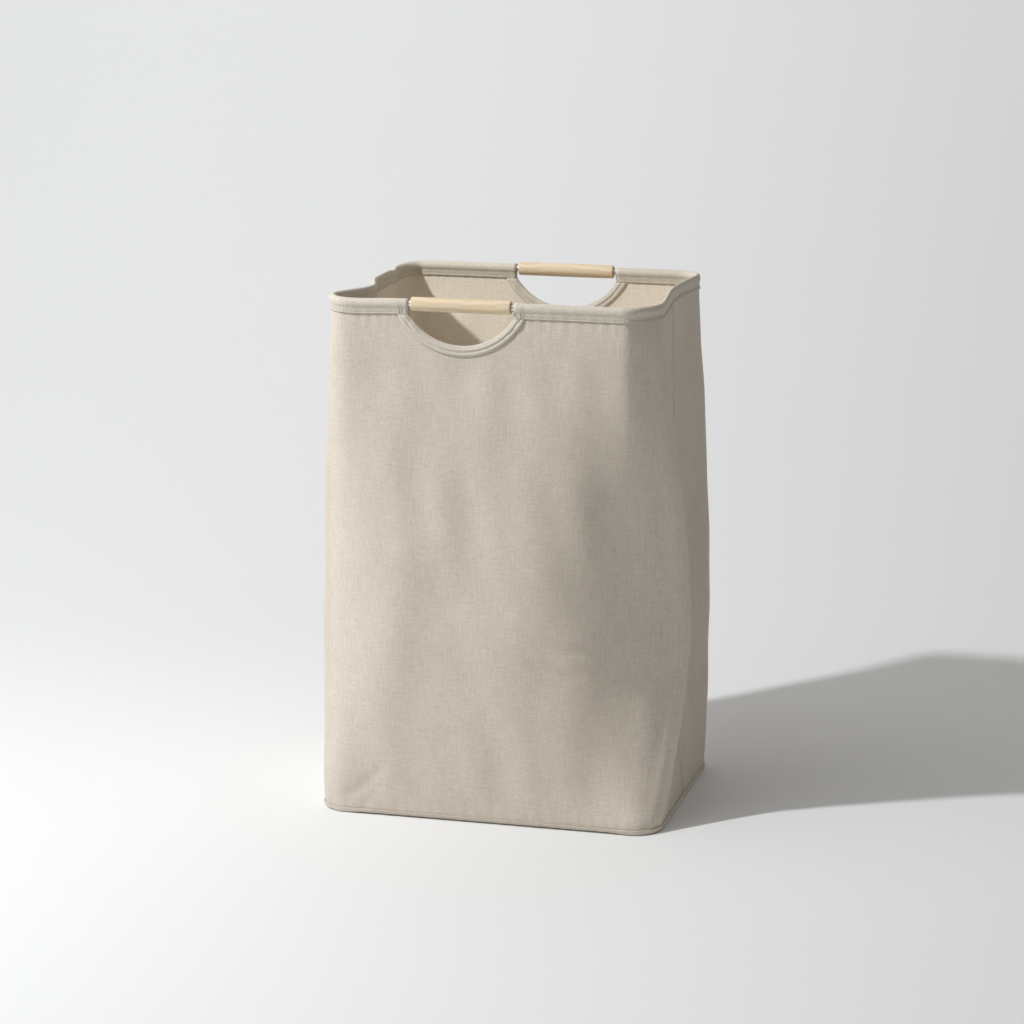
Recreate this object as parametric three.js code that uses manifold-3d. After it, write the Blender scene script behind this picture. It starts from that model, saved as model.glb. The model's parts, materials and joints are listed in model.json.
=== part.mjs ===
// A free-standing cloth laundry hamper with two wooden carrying grips.
//
// Two cloth shells, cut from one pattern, each make one broad face and half of both narrow sides. They meet in a
// seam down the middle of each side, and each carries a thin liner. A board keeps the base flat. Folded cloth strips
// bind the rim; on the broad faces they hold an aluminium rod, and each rod carries a wooden grip that turns on it
// over a half-round hand opening.
//
// Millimetres. +X is along the broad front, -Y is the front, +Z is up. The origin is the centre of the base.
//
// Every soft piece is first made flat and then draped on the bag. A place on the bag is (s, z, w): s runs round the
// bag, clockwise seen from above, from the seam of the right side past the front; z is the height; and w is the
// distance outwards from the middle of the wall.

import * as THREE from "three";
import { mergeVertices } from "three/addons/utils/BufferGeometryUtils.js";
import Module from "manifold-3d";

const wasm = await Module();
wasm.setup();

// Overall sizes.
const OVERALL_HEIGHT = 610; // to the top of the grips
const BASE_WIDTH = 400;
const BASE_DEPTH = 300;
const BASE_CORNER_RADIUS = 32;
const RIM_WIDTH = 388;
const RIM_DEPTH = 288;
const RIM_CORNER_RADIUS = 36;

// Cloth and board.
const SHELL_THICKNESS = 1.5;
const LINER_THICKNESS = 1;
const BINDING_THICKNESS = 1.2;
const BASE_CLOTH_THICKNESS = 1.5;
const BOARD_THICKNESS = 3;
const WELT_HEIGHT = 7;
const RIM_STRIP_HEIGHT = 17.5;
const SEWN_GAP = 0.3; // between two pieces that touch
const BASE_SET_IN = 2; // from the wall to the layers of the base

// Grips, rods and their end plugs.
const GRIP_DIAMETER = 16;
const GRIP_LENGTH = 116;
const GRIP_EDGE_RADIUS = 1.2;
const GRIP_END_GAP = 3.5; // from each end of the grip to the rim strip
const FRONT_GRIP_SHIFT = 28; // from the middle of the face, to the left seen from outside
const BACK_GRIP_SHIFT = 22;
const ROD_DIAMETER = 8;
const ROD_WALL = 1;
const ROD_CLEARANCE = 0.5; // radial, in the grip's bore and in the rim strips' tunnels
const PLUG_HEAD_LENGTH = 3;
const PLUG_STEM_LENGTH = 12;
const PLUG_CLEARANCE = 0.4; // radial, in the rod's bore
const PLUG_TO_CORNER = 2; // from the plug to the end of the straight part of the rim

// Hand openings.
const OPENING_DROP = 34; // how far an opening reaches below the rim strips
const OPENING_BINDING_WIDTH = 11.5;

// How the cloth swells and sinks between the base and the rim: `at` is the middle of a swell and `spread` its half
// width, both as shares of a shell's width, `by` is its height, and `under` is how far below the rods it ends.
const SWELLS = {
  seamHollow: { at: 0.01, spread: 0.06, by: -15, under: 0 },
  faceBelly: { at: 0.4, spread: 0.177, by: 7, under: 84 },
  leftSwell: { at: 0.65, spread: 0.056, by: 3, under: 0 },
};
// How far the corners are pushed sideways, along X.
const CORNER_PUSHES = {
  right: { at: 0.185, spread: 0.05, by: 16.5 },
  left: { at: 0.81, spread: 0.06, by: -16.5 },
};
const SWELL_PEAK_POWER = 0.75; // under 1, it puts the widest place below the middle
const SWELL_SHARPNESS = 1.6;

// How the slack cloth cuts the corners off, so that a broad face slopes back towards them: `at` is the ridge's place
// as a share of a shell's width, `reach` how far the slope runs from it over the face, `way` in which direction,
// `depth` how far back the ridge is, `bend` how much the slope steepens towards it, `rise` how slowly it starts from
// its foot and its top, and `under` how far its height is less than the rods'.
const FACETS = {
  rightFacet: { at: 0.219, reach: 178, way: 1, depth: 73, bend: 2.5, rise: 0.85, under: 40 },
  leftFacet: { at: 0.784, reach: 100, way: -1, depth: 46, bend: 2.8, rise: 1.2, under: 40 },
};
const FACET_FOOT = 12; // how high above the floor they start
const RIM_FACET = { at: 0.219, reach: 22, way: 1, depth: 10, bend: 1.5 };

// How the rim folds inwards on the narrow sides: `at` and `spread` as above, counted on round the whole bag.
const RIM_FOLDS = {
  leftFold: { at: 0.9, spread: 0.068, by: -24 },
  leftSlack: { at: 1.06, spread: 0.2, by: -21 },
  rightSlack: { at: 1.96, spread: 0.16, by: -14 },
};
const RIM_FOLD_REACH = 170; // how far down a fold fades out

// How finely the curves are divided.
const HALF_SIDE_COLUMNS = 5;
const CORNER_COLUMNS = 4;
const FACE_COLUMNS = 8;
const WALL_ROWS = 8;
const OPENING_STEPS = 48;
const TUNNEL_STEPS = 5; // for each half of a tunnel
const GRIP_STEPS = 28;
const GRIP_EDGE_STEPS = 2;
const ROD_STEPS = 20;

// Colours.
const LINEN = 0xcbc2b5;
const LINER_CLOTH = 0xbfb091;
const BINDING_CLOTH = 0xbdb5aa;
const FIBREBOARD = 0x9a7f5e;
const WOOD = 0xdcc6a0;
const ALUMINIUM = 0xc9cccf;
const PLUG_PLASTIC = 0x2b2b2b;

// Heights that follow from the sizes above.
const GRIP_RADIUS = GRIP_DIAMETER / 2;
const ROD_RADIUS = ROD_DIAMETER / 2;
const TUNNEL_RADIUS = ROD_RADIUS + ROD_CLEARANCE;
const ROD_Z = OVERALL_HEIGHT - GRIP_RADIUS;
const STRIP_BOTTOM = ROD_Z + TUNNEL_RADIUS + BINDING_THICKNESS - RIM_STRIP_HEIGHT;
const SHELL_TOP = ROD_Z - TUNNEL_RADIUS - SEWN_GAP;
const SHELL_BOTTOM = WELT_HEIGHT + SEWN_GAP;

// The wall's layers, as distances from its middle: the shell outside, the liner inside, and the strips round both.
const SHELL_INNER = SEWN_GAP / 2;
const SHELL_OUTER = SHELL_INNER + SHELL_THICKNESS;
const LINER_OUTER = -SEWN_GAP / 2;
const LINER_INNER = LINER_OUTER - LINER_THICKNESS;
const SLOT_OUTER = SHELL_OUTER + SEWN_GAP;
const SLOT_INNER = LINER_INNER - SEWN_GAP;
const STRIP_OUTER = SLOT_OUTER + BINDING_THICKNESS;
const STRIP_INNER = SLOT_INNER - BINDING_THICKNESS;

// The outline as it is at the base. A shell takes half a side, a corner, a face, a corner and half a side.
const HALF_SIDE = BASE_DEPTH / 2 - BASE_CORNER_RADIUS;
const CORNER = (BASE_CORNER_RADIUS * Math.PI) / 2;
const FACE = BASE_WIDTH - 2 * BASE_CORNER_RADIUS;
const FACE_START = HALF_SIDE + CORNER;
const FACE_MIDDLE = FACE_START + FACE / 2;
const FACE_END = FACE_START + FACE;
const SHELL = 2 * FACE_MIDDLE;
const ROUND = 2 * SHELL;

// The hand openings: a circle segment below the rim strips, as wide at its top as the gap between them.
const OPENING_HALF = GRIP_LENGTH / 2 + GRIP_END_GAP;
const OPENING_RADIUS = (OPENING_HALF ** 2 + OPENING_DROP ** 2) / (2 * OPENING_DROP);
const OPENING_Z = STRIP_BOTTOM - OPENING_DROP + OPENING_RADIUS;
const BINDING_FOLD_RADIUS = OPENING_RADIUS + BINDING_THICKNESS;
const BINDING_RADIUS = OPENING_RADIUS + OPENING_BINDING_WIDTH;
const CUT_RADIUS = BINDING_FOLD_RADIUS + SEWN_GAP;

const mix = THREE.MathUtils.lerp;
const bell = (distance, spread) => Math.exp(-((distance / spread) ** 2));

// The shorter way between two places on an outline that repeats every `period`.
function wayRound(from, to, period) {
  const way = THREE.MathUtils.euclideanModulo(to - from, period);
  return Math.min(way, period - way);
}

// How much of a swell there is at a height: all of it at its widest place, none at the base and at its top.
function growth(z, under = 0) {
  const share = THREE.MathUtils.clamp(z / (ROD_Z - under), 0, 1);
  return Math.max(0, Math.sin(Math.PI * share ** SWELL_PEAK_POWER)) ** SWELL_SHARPNESS;
}

// How much of a swell there is at a place along a shell.
const swellAt = (s, { at, spread }) => bell(wayRound(at * SHELL, s, SHELL), spread * SHELL);

// How much of a rim fold there is at a height.
const rimShare = (z) => bell(Math.min(z - ROD_Z, 0), RIM_FOLD_REACH);

// How far a facet sets a broad face back, at t along its shell.
function facetAt(t, { at, reach, way, depth, bend }) {
  const past = Math.max((t - at * SHELL) * way, 0);
  return depth * Math.max(1 - past / reach, 0) ** bend;
}

// How far all the facets set a shell back.
function setBack(t, z) {
  let back = facetAt(t, RIM_FACET) * rimShare(z);
  for (const facet of Object.values(FACETS)) back += facetAt(t, facet) * growth(Math.max(z - FACET_FOOT, 0), facet.under) ** facet.rise;
  return back;
}

// How far the cloth stands out from the plain rounded box. The faces stay straight at the rim, along their rods.
function standOut(s, z, sideways) {
  let out = 0;
  for (const swell of Object.values(SWELLS)) {
    out += swell.by * growth(z, swell.under) * swellAt(s, swell);
  }
  for (const { at, spread, by } of Object.values(RIM_FOLDS)) {
    out += by * rimShare(z) * sideways * bell(wayRound(at * SHELL, s, ROUND), spread * SHELL);
  }
  return out;
}

// The plain rounded box at a height: the middles of its corners, and their radius.
function boxAt(z) {
  const share = z / OVERALL_HEIGHT;
  const radius = mix(BASE_CORNER_RADIUS, RIM_CORNER_RADIUS, share);
  return {
    radius,
    cornerX: mix(BASE_WIDTH, RIM_WIDTH, share) / 2 - radius,
    cornerY: mix(BASE_DEPTH, RIM_DEPTH, share) / 2 - radius,
  };
}

// The point of the bag at (s, z, w).
function onBag(s, z, w) {
  const { radius, cornerX, cornerY } = boxAt(z);
  const place = THREE.MathUtils.euclideanModulo(s, ROUND);
  const turned = place < SHELL ? 1 : -1; // the back shell is the front one turned half round
  const t = place % SHELL;
  const toCorner = THREE.MathUtils.clamp((t - HALF_SIDE) / CORNER, 0, 1);
  const fromCorner = THREE.MathUtils.clamp((t - FACE_END) / CORNER, 0, 1);
  const angle = ((toCorner + fromCorner) * Math.PI) / 2; // of the way outwards, from +X towards the front
  const across = THREE.MathUtils.clamp((FACE_MIDDLE - t) / (FACE / 2), -1, 1);
  const forwards = Math.min(t, SHELL - t, HALF_SIDE) / HALF_SIDE;
  const out = radius + w + standOut(place, z, Math.cos(angle) ** 2);
  let x = cornerX * across + out * Math.cos(angle);
  for (const push of Object.values(CORNER_PUSHES)) x += push.by * growth(z) * swellAt(t, push);
  const y = -cornerY * forwards - out * Math.sin(angle) + setBack(t, z) * forwards;
  return new THREE.Vector3(turned * x, turned * y, z);
}

// The place along a shell that is x across its face at a height. x is to the right, seen from outside.
const alongFace = (x, z = ROD_Z) => FACE_MIDDLE - (x * FACE) / (2 * boxAt(z).cornerX);

// One closed surface of a geometry: only its positions, with shared vertices merged.
function closed(geometry) {
  geometry.deleteAttribute("normal");
  geometry.deleteAttribute("uv");
  return mergeVertices(geometry, 1e-3);
}

// Moves each vertex to where `place` puts it.
function reshape(geometry, place) {
  const surface = closed(geometry);
  const position = surface.attributes.position;
  for (let i = 0; i < position.count; i++) {
    const to = place(position.getX(i), position.getY(i), position.getZ(i));
    position.setXYZ(i, to.x, to.y, to.z);
  }
  return surface;
}

function toSolid(geometry) {
  const surface = closed(geometry);
  const vertProperties = Float32Array.from(surface.attributes.position.array);
  const triVerts = Uint32Array.from(surface.index.array);
  return new wasm.Manifold(new wasm.Mesh({ numProp: 3, vertProperties, triVerts }));
}

function cut(geometry, tool) {
  const { vertProperties, triVerts } = toSolid(geometry).subtract(toSolid(tool)).getMesh();
  const left = new THREE.BufferGeometry();
  left.setAttribute("position", new THREE.BufferAttribute(vertProperties, 3));
  return left.setIndex(new THREE.BufferAttribute(triVerts, 1));
}

function piece(name, geometry, color, roughness = 0.95, metalness = 0) {
  geometry.computeVertexNormals();
  const mesh = new THREE.Mesh(geometry, new THREE.MeshStandardMaterial({ color, roughness, metalness }));
  mesh.name = name;
  return mesh;
}

// `count` even steps from one number to another, without the first.
const steps = (from, to, count) => Array.from({ length: count }, (_, i) => mix(from, to, (i + 1) / count));

// The columns that every draped piece keeps to, so that neighbours have parallel facets.
const SHELL_COLUMNS = [
  SEWN_GAP / 2,
  ...steps(SEWN_GAP / 2, HALF_SIDE, HALF_SIDE_COLUMNS),
  ...steps(HALF_SIDE, FACE_START, CORNER_COLUMNS),
  ...steps(FACE_START, FACE_END, FACE_COLUMNS),
  ...steps(FACE_END, SHELL - HALF_SIDE, CORNER_COLUMNS),
  ...steps(SHELL - HALF_SIDE, SHELL - SEWN_GAP / 2, HALF_SIDE_COLUMNS),
];
const ROUND_COLUMNS = [...SHELL_COLUMNS, ...SHELL_COLUMNS.map((s) => SHELL + s)];

// The same columns from one place of a shell to another.
const columnsBetween = (from, to) => [from, ...SHELL_COLUMNS.filter((s) => s > from && s < to), to];

// The wall's rows crowd together towards the base and the rim.
const WALL_LEVELS = [0, ...steps(0, 1, WALL_ROWS)].map((share) =>
  mix(SHELL_BOTTOM, SHELL_TOP, (1 - Math.cos(Math.PI * share)) / 2),
);

// A strip of a given section, (w, z), draped along the bag.
function strip(section, columns) {
  const count = columns.length - 1;
  const flat = new THREE.ExtrudeGeometry(section, {
    depth: count,
    steps: count,
    bevelEnabled: false,
    curveSegments: TUNNEL_STEPS,
  });
  return reshape(flat, (w, z, column) => onBag(columns[Math.round(column)], z, w));
}

// Divides the quads of a box's +X side along their other diagonals, which are those of the -X side.
function matchDiagonals(box) {
  const { start, count } = box.groups[0];
  const corners = box.index.array;
  for (let i = start; i < start + count; i += 6) {
    const [a, b, d, , c] = corners.slice(i, i + 6);
    corners.set([a, b, c, a, c, d], i);
  }
  return box;
}

// One layer of a shell's wall, between two distances from its middle, with its hand opening cut out.
function wallLayer(face, inner, outer) {
  const columns = SHELL_COLUMNS.length - 1;
  const flat = matchDiagonals(new THREE.BoxGeometry(1, WALL_ROWS, columns, 1, WALL_ROWS, columns));
  flat.translate(0.5, WALL_ROWS / 2, columns / 2);
  const layer = reshape(flat, (depth, row, column) =>
    onBag(face.start + SHELL_COLUMNS[Math.round(column)], WALL_LEVELS[Math.round(row)], mix(inner, outer, depth)),
  );
  const drum = new THREE.CylinderGeometry(CUT_RADIUS, CUT_RADIUS, RIM_DEPTH / 2, OPENING_STEPS);
  drum.translate(face.gripX, -RIM_DEPTH / 2, OPENING_Z).rotateZ(face.turn);
  return cut(layer, drum);
}

// The strip folded over the cut edge of shell and liner round a hand opening, up to the rim strips.
function openingBinding(face) {
  const section = [
    [OPENING_RADIUS, -STRIP_OUTER],
    [BINDING_RADIUS, -STRIP_OUTER],
    [BINDING_RADIUS, -SLOT_OUTER],
    [BINDING_FOLD_RADIUS, -SLOT_OUTER],
    [BINDING_FOLD_RADIUS, -SLOT_INNER],
    [BINDING_RADIUS, -SLOT_INNER],
    [BINDING_RADIUS, -STRIP_INNER],
    [OPENING_RADIUS, -STRIP_INNER],
    [OPENING_RADIUS, -STRIP_OUTER],
  ].map(([radius, inwards]) => new THREE.Vector2(radius, inwards));
  const ring = new THREE.LatheGeometry(section, OPENING_STEPS).translate(face.gripX, 0, OPENING_Z);
  const size = 4 * BINDING_RADIUS;
  const above = new THREE.BoxGeometry(size, size, size);
  above.translate(face.gripX, 0, STRIP_BOTTOM - SEWN_GAP + size / 2);
  return reshape(cut(ring, above), (x, inwards, z) => onBag(face.start + alongFace(x, z), z, -inwards));
}

// The angle, on a circle round the rod, of the lower place that is w outwards.
const angleAt = (w, radius) => -Math.acos(w / radius);

// A rim strip's section: a tunnel for the rod above a slot that takes the top edge of shell and liner.
function rimSection() {
  const around = TUNNEL_RADIUS + BINDING_THICKNESS;
  const tunnelStart = angleAt(SLOT_INNER, TUNNEL_RADIUS);
  const section = new THREE.Shape();
  section.moveTo(SLOT_OUTER, STRIP_BOTTOM);
  section.lineTo(STRIP_OUTER, STRIP_BOTTOM);
  section.absarc(0, ROD_Z, around, angleAt(STRIP_OUTER, around), angleAt(STRIP_INNER, around), false);
  section.lineTo(STRIP_INNER, STRIP_BOTTOM);
  section.lineTo(SLOT_INNER, STRIP_BOTTOM);
  section.absarc(0, ROD_Z, TUNNEL_RADIUS, tunnelStart, angleAt(SLOT_OUTER, TUNNEL_RADIUS), true);
  return section;
}

// The two rim strips of a face, each from a side seam to the hand opening.
function rimStrips(face) {
  const stretches = {
    [face.firstSide]: columnsBetween(SEWN_GAP / 2, alongFace(face.gripX + OPENING_HALF)),
    [face.lastSide]: columnsBetween(alongFace(face.gripX - OPENING_HALF), SHELL - SEWN_GAP / 2),
  };
  return Object.entries(stretches).map(([side, columns]) => {
    const draped = strip(rimSection(), columns.map((s) => face.start + s));
    return piece(`${face.name}_${side}_rim_strip`, draped, BINDING_CLOTH);
  });
}

// The strip that binds the foot of the shells. Its two ends meet at the seam of the right side.
function baseWelt() {
  const section = new THREE.Shape();
  section.moveTo(0, 0);
  section.lineTo(STRIP_OUTER, 0);
  section.lineTo(STRIP_OUTER, WELT_HEIGHT);
  section.lineTo(0, WELT_HEIGHT);
  return strip(section, ROUND_COLUMNS);
}

// A flat layer of the base: a rounded rectangle set in from the wall.
function baseLayer(low, thickness) {
  const { radius, cornerX, cornerY } = boxAt(0);
  const outline = new THREE.Shape();
  for (const [x, y, from] of [[1, 1, 0], [-1, 1, 1], [-1, -1, 2], [1, -1, 3]]) {
    const start = (from * Math.PI) / 2;
    outline.absarc(x * cornerX, y * cornerY, radius - BASE_SET_IN, start, start + Math.PI / 2);
  }
  const plate = new THREE.ExtrudeGeometry(outline, {
    depth: thickness,
    bevelEnabled: false,
    curveSegments: CORNER_COLUMNS,
  });
  return closed(plate.translate(0, 0, low));
}

// A turned piece along X, from a profile of [radius, x] pairs.
function turnedAlongX(profile, divisions) {
  const points = profile.map(([radius, x]) => new THREE.Vector2(radius, x));
  return closed(new THREE.LatheGeometry(points, divisions)).rotateZ(-Math.PI / 2);
}

function grip() {
  const half = GRIP_LENGTH / 2;
  const edge = [0, ...steps(0, Math.PI / 2, GRIP_EDGE_STEPS)].map((angle) => [
    GRIP_RADIUS - GRIP_EDGE_RADIUS * (1 - Math.sin(angle)),
    half - GRIP_EDGE_RADIUS * (1 - Math.cos(angle)),
  ]);
  const lowEdge = edge.map(([radius, x]) => [radius, -x]);
  const profile = [[TUNNEL_RADIUS, -half], ...lowEdge, ...edge.toReversed(), [TUNNEL_RADIUS, half]];
  return turnedAlongX([...profile, profile[0]], GRIP_STEPS);
}

// The rod ends short of the corners, by its plugs' heads.
const ROD_HALF = boxAt(ROD_Z).cornerX - PLUG_TO_CORNER - PLUG_HEAD_LENGTH - SEWN_GAP;

function rod() {
  const bore = ROD_RADIUS - ROD_WALL;
  const profile = [[bore, -ROD_HALF], [ROD_RADIUS, -ROD_HALF], [ROD_RADIUS, ROD_HALF], [bore, ROD_HALF]];
  return turnedAlongX([...profile, profile[0]], ROD_STEPS);
}

// A plug for the rod's +X end: a stem inside the bore and a head outside it.
function plug() {
  const stem = ROD_RADIUS - ROD_WALL - PLUG_CLEARANCE;
  const tip = ROD_HALF - PLUG_STEM_LENGTH;
  const head = ROD_HALF + SEWN_GAP;
  const end = head + PLUG_HEAD_LENGTH;
  const profile = [[0, tip], [stem, tip], [stem, head], [ROD_RADIUS, head], [ROD_RADIUS, end], [0, end]];
  return turnedAlongX(profile, ROD_STEPS);
}

// The rod of a face with all that is on it.
function handle(face) {
  const axle = piece(`${face.name}_rod`, rod(), ALUMINIUM, 0.35, 1);
  const firstPlug = piece(`${face.name}_rod_${face.firstSide}_plug`, plug(), PLUG_PLASTIC, 0.6);
  const lastPlug = piece(`${face.name}_rod_${face.lastSide}_plug`, plug(), PLUG_PLASTIC, 0.6);
  lastPlug.rotation.z = Math.PI;
  const wood = piece(`${face.name}_grip`, grip(), WOOD, 0.55);
  wood.position.x = face.gripX;
  const line = new THREE.Group().add(axle, firstPlug, lastPlug, wood);
  line.position.set(0, onBag(FACE_MIDDLE, ROD_Z, 0).y, ROD_Z);
  const turned = new THREE.Group().add(line);
  turned.rotation.z = face.turn;
  return turned;
}

const FACES = [
  { name: "front", start: 0, turn: 0, gripX: -FRONT_GRIP_SHIFT, firstSide: "right", lastSide: "left" },
  { name: "back", start: SHELL, turn: Math.PI, gripX: -BACK_GRIP_SHIFT, firstSide: "left", lastSide: "right" },
];

const hamper = new THREE.Group();
for (const face of FACES) {
  hamper.add(
    piece(`${face.name}_shell`, wallLayer(face, SHELL_INNER, SHELL_OUTER), LINEN),
    piece(`${face.name}_liner`, wallLayer(face, LINER_INNER, LINER_OUTER), LINER_CLOTH),
    piece(`${face.name}_opening_binding`, openingBinding(face), BINDING_CLOTH),
    ...rimStrips(face),
    handle(face),
  );
}

const BOARD_BOTTOM = BASE_CLOTH_THICKNESS + SEWN_GAP;
const BASE_LINER_BOTTOM = BOARD_BOTTOM + BOARD_THICKNESS + SEWN_GAP;
hamper.add(
  piece("base_welt", baseWelt(), BINDING_CLOTH),
  piece("base_cloth", baseLayer(0, BASE_CLOTH_THICKNESS), LINEN),
  piece("base_board", baseLayer(BOARD_BOTTOM, BOARD_THICKNESS), FIBREBOARD, 0.8),
  piece("base_liner", baseLayer(BASE_LINER_BOTTOM, LINER_THICKNESS), LINER_CLOTH),
);

export default hamper;
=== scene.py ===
"""Looks for a free-standing cloth laundry hamper with two wooden carrying grips.

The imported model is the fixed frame. Every soft piece is first cut and sewn flat, in cloth coordinates, and
then draped on the form of the bag. In cloth coordinates, s runs round the bag, clockwise seen from above,
from the seam of the right side past the front; z is the height; and w is the distance outwards from the
middle of the wall. Metres, +Z up, -Y the front.
"""

import json
import logging
import math
from collections.abc import Callable, Sequence
from dataclasses import dataclass
from enum import Enum

import bmesh
import bpy
import numpy as np
from mathutils import Matrix, Vector

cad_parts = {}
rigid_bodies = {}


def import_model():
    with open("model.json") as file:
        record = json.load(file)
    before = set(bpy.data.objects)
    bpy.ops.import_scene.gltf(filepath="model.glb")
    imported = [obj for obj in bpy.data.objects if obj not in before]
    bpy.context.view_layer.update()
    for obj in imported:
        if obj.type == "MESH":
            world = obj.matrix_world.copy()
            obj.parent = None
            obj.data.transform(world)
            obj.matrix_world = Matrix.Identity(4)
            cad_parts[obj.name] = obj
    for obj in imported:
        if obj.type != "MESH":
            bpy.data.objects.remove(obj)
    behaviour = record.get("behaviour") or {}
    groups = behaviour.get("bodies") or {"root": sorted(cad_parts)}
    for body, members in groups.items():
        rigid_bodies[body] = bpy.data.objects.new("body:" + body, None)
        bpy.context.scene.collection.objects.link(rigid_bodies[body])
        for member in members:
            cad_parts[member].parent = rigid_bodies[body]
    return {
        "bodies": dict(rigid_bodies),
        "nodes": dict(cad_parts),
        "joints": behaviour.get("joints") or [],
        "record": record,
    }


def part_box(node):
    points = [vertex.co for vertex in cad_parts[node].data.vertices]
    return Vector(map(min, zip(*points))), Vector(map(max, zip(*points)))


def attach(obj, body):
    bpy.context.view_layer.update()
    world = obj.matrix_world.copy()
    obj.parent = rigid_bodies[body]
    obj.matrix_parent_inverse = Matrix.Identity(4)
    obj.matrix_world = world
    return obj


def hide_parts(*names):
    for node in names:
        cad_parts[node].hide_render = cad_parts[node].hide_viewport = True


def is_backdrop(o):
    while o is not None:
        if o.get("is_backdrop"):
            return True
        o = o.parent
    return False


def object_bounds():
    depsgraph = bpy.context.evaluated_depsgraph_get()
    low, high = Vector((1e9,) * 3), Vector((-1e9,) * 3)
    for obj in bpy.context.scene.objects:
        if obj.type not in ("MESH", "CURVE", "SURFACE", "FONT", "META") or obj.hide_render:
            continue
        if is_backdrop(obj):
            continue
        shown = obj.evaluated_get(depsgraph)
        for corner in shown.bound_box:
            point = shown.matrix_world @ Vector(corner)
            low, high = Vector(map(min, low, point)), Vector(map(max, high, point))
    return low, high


LOG = logging.getLogger("hamper")
HAMPER = "hamper"
MM = 0.001
ALONG = np.array([1.0, 0.0, 0.0])  # the two ways of a stitch, in cloth coordinates
UPWARDS = np.array([0.0, 1.0, 0.0])

Array = np.ndarray
Colour = tuple[float, float, float, float]


class Part(Enum):
    """The two halves of the bag, by the shell that makes them."""

    FRONT = 0
    BACK = 1


# --------------------------------------------------------------------------------------------------
# The form of the bag
# --------------------------------------------------------------------------------------------------


def bell(distance: Array, spread: float) -> Array:
    """Return a smooth bump: one at no distance, fading out over the spread."""
    return np.exp(-((distance / spread) ** 2))


def smooth_step(value: Array) -> Array:
    """Return 0 below 0, 1 above 1 and a soft rise between them."""
    share = np.clip(value, 0.0, 1.0)
    return share * share * (3.0 - 2.0 * share)


def way_round(start: float, to: Array, period: float) -> Array:
    """Return the shorter way between two places on an outline that repeats."""
    way = np.mod(to - start, period)
    return np.minimum(way, period - way)


@dataclass(frozen=True)
class Swell:
    """A stretch of a shell that swells or sinks between the base and the rim.

    `at` and `spread` are shares of a shell's width, `by` is the height and `under` how far below the rods
    it ends.
    """

    at: float
    spread: float
    by: float
    under: float = 0.0


@dataclass(frozen=True)
class Facet:
    """A corner of the bag that the slack cloth cuts off, so that the broad face slopes back towards it.

    `at` is the ridge's place as a share of a shell's width, `reach` how far the slope runs from it over the
    face, `depth` how far back the ridge is, `bend` how much the slope steepens towards it, `rise` how slowly
    it starts from its foot and its top, and `under` how far its height is less than the rods'.
    """

    at: float
    reach: float
    depth: float
    bend: float
    to_left: bool
    rise: float = 1.0
    under: float = 0.0

    def slope(self, t: Array, shell: float) -> Array:
        """Return the slope's share of its depth, t along a shell of the given width."""
        past = (t - self.at * shell) * (1 if self.to_left else -1)
        return np.clip(1 - np.maximum(past, 0.0) / self.reach, 0.0, 1.0) ** self.bend


@dataclass(frozen=True)
class RimFold:
    """A place where the rim folds or droops, counted on round the whole bag in shares of a shell's width."""

    at: float
    spread: float
    by: float


@dataclass(frozen=True)
class Crease:
    """A soft ridge or furrow along a line on the cloth.

    `start` and `end` are (s as a share of a shell's width, height), `width` its half width, `by` its height,
    and `sag` how far the middle of the line lies off the straight one.
    """

    start: tuple[float, float]
    end: tuple[float, float]
    width: float
    by: float
    sag: float = 0.0


@dataclass(frozen=True)
class Pucker:
    """The puckers along a sewn edge: how many go round the bag, and how their spacing drifts."""

    count: int
    drifts: int
    drift: float

    def height(self, s: Array, way_about: float) -> Array:
        """Return the puckers' height, from -1 to 1, on an outline of the given length."""
        drifting = self.drift * np.sin(2 * math.pi * self.drifts * s / way_about)
        return np.sin(2 * math.pi * self.count * s / way_about + drifting)


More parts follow.
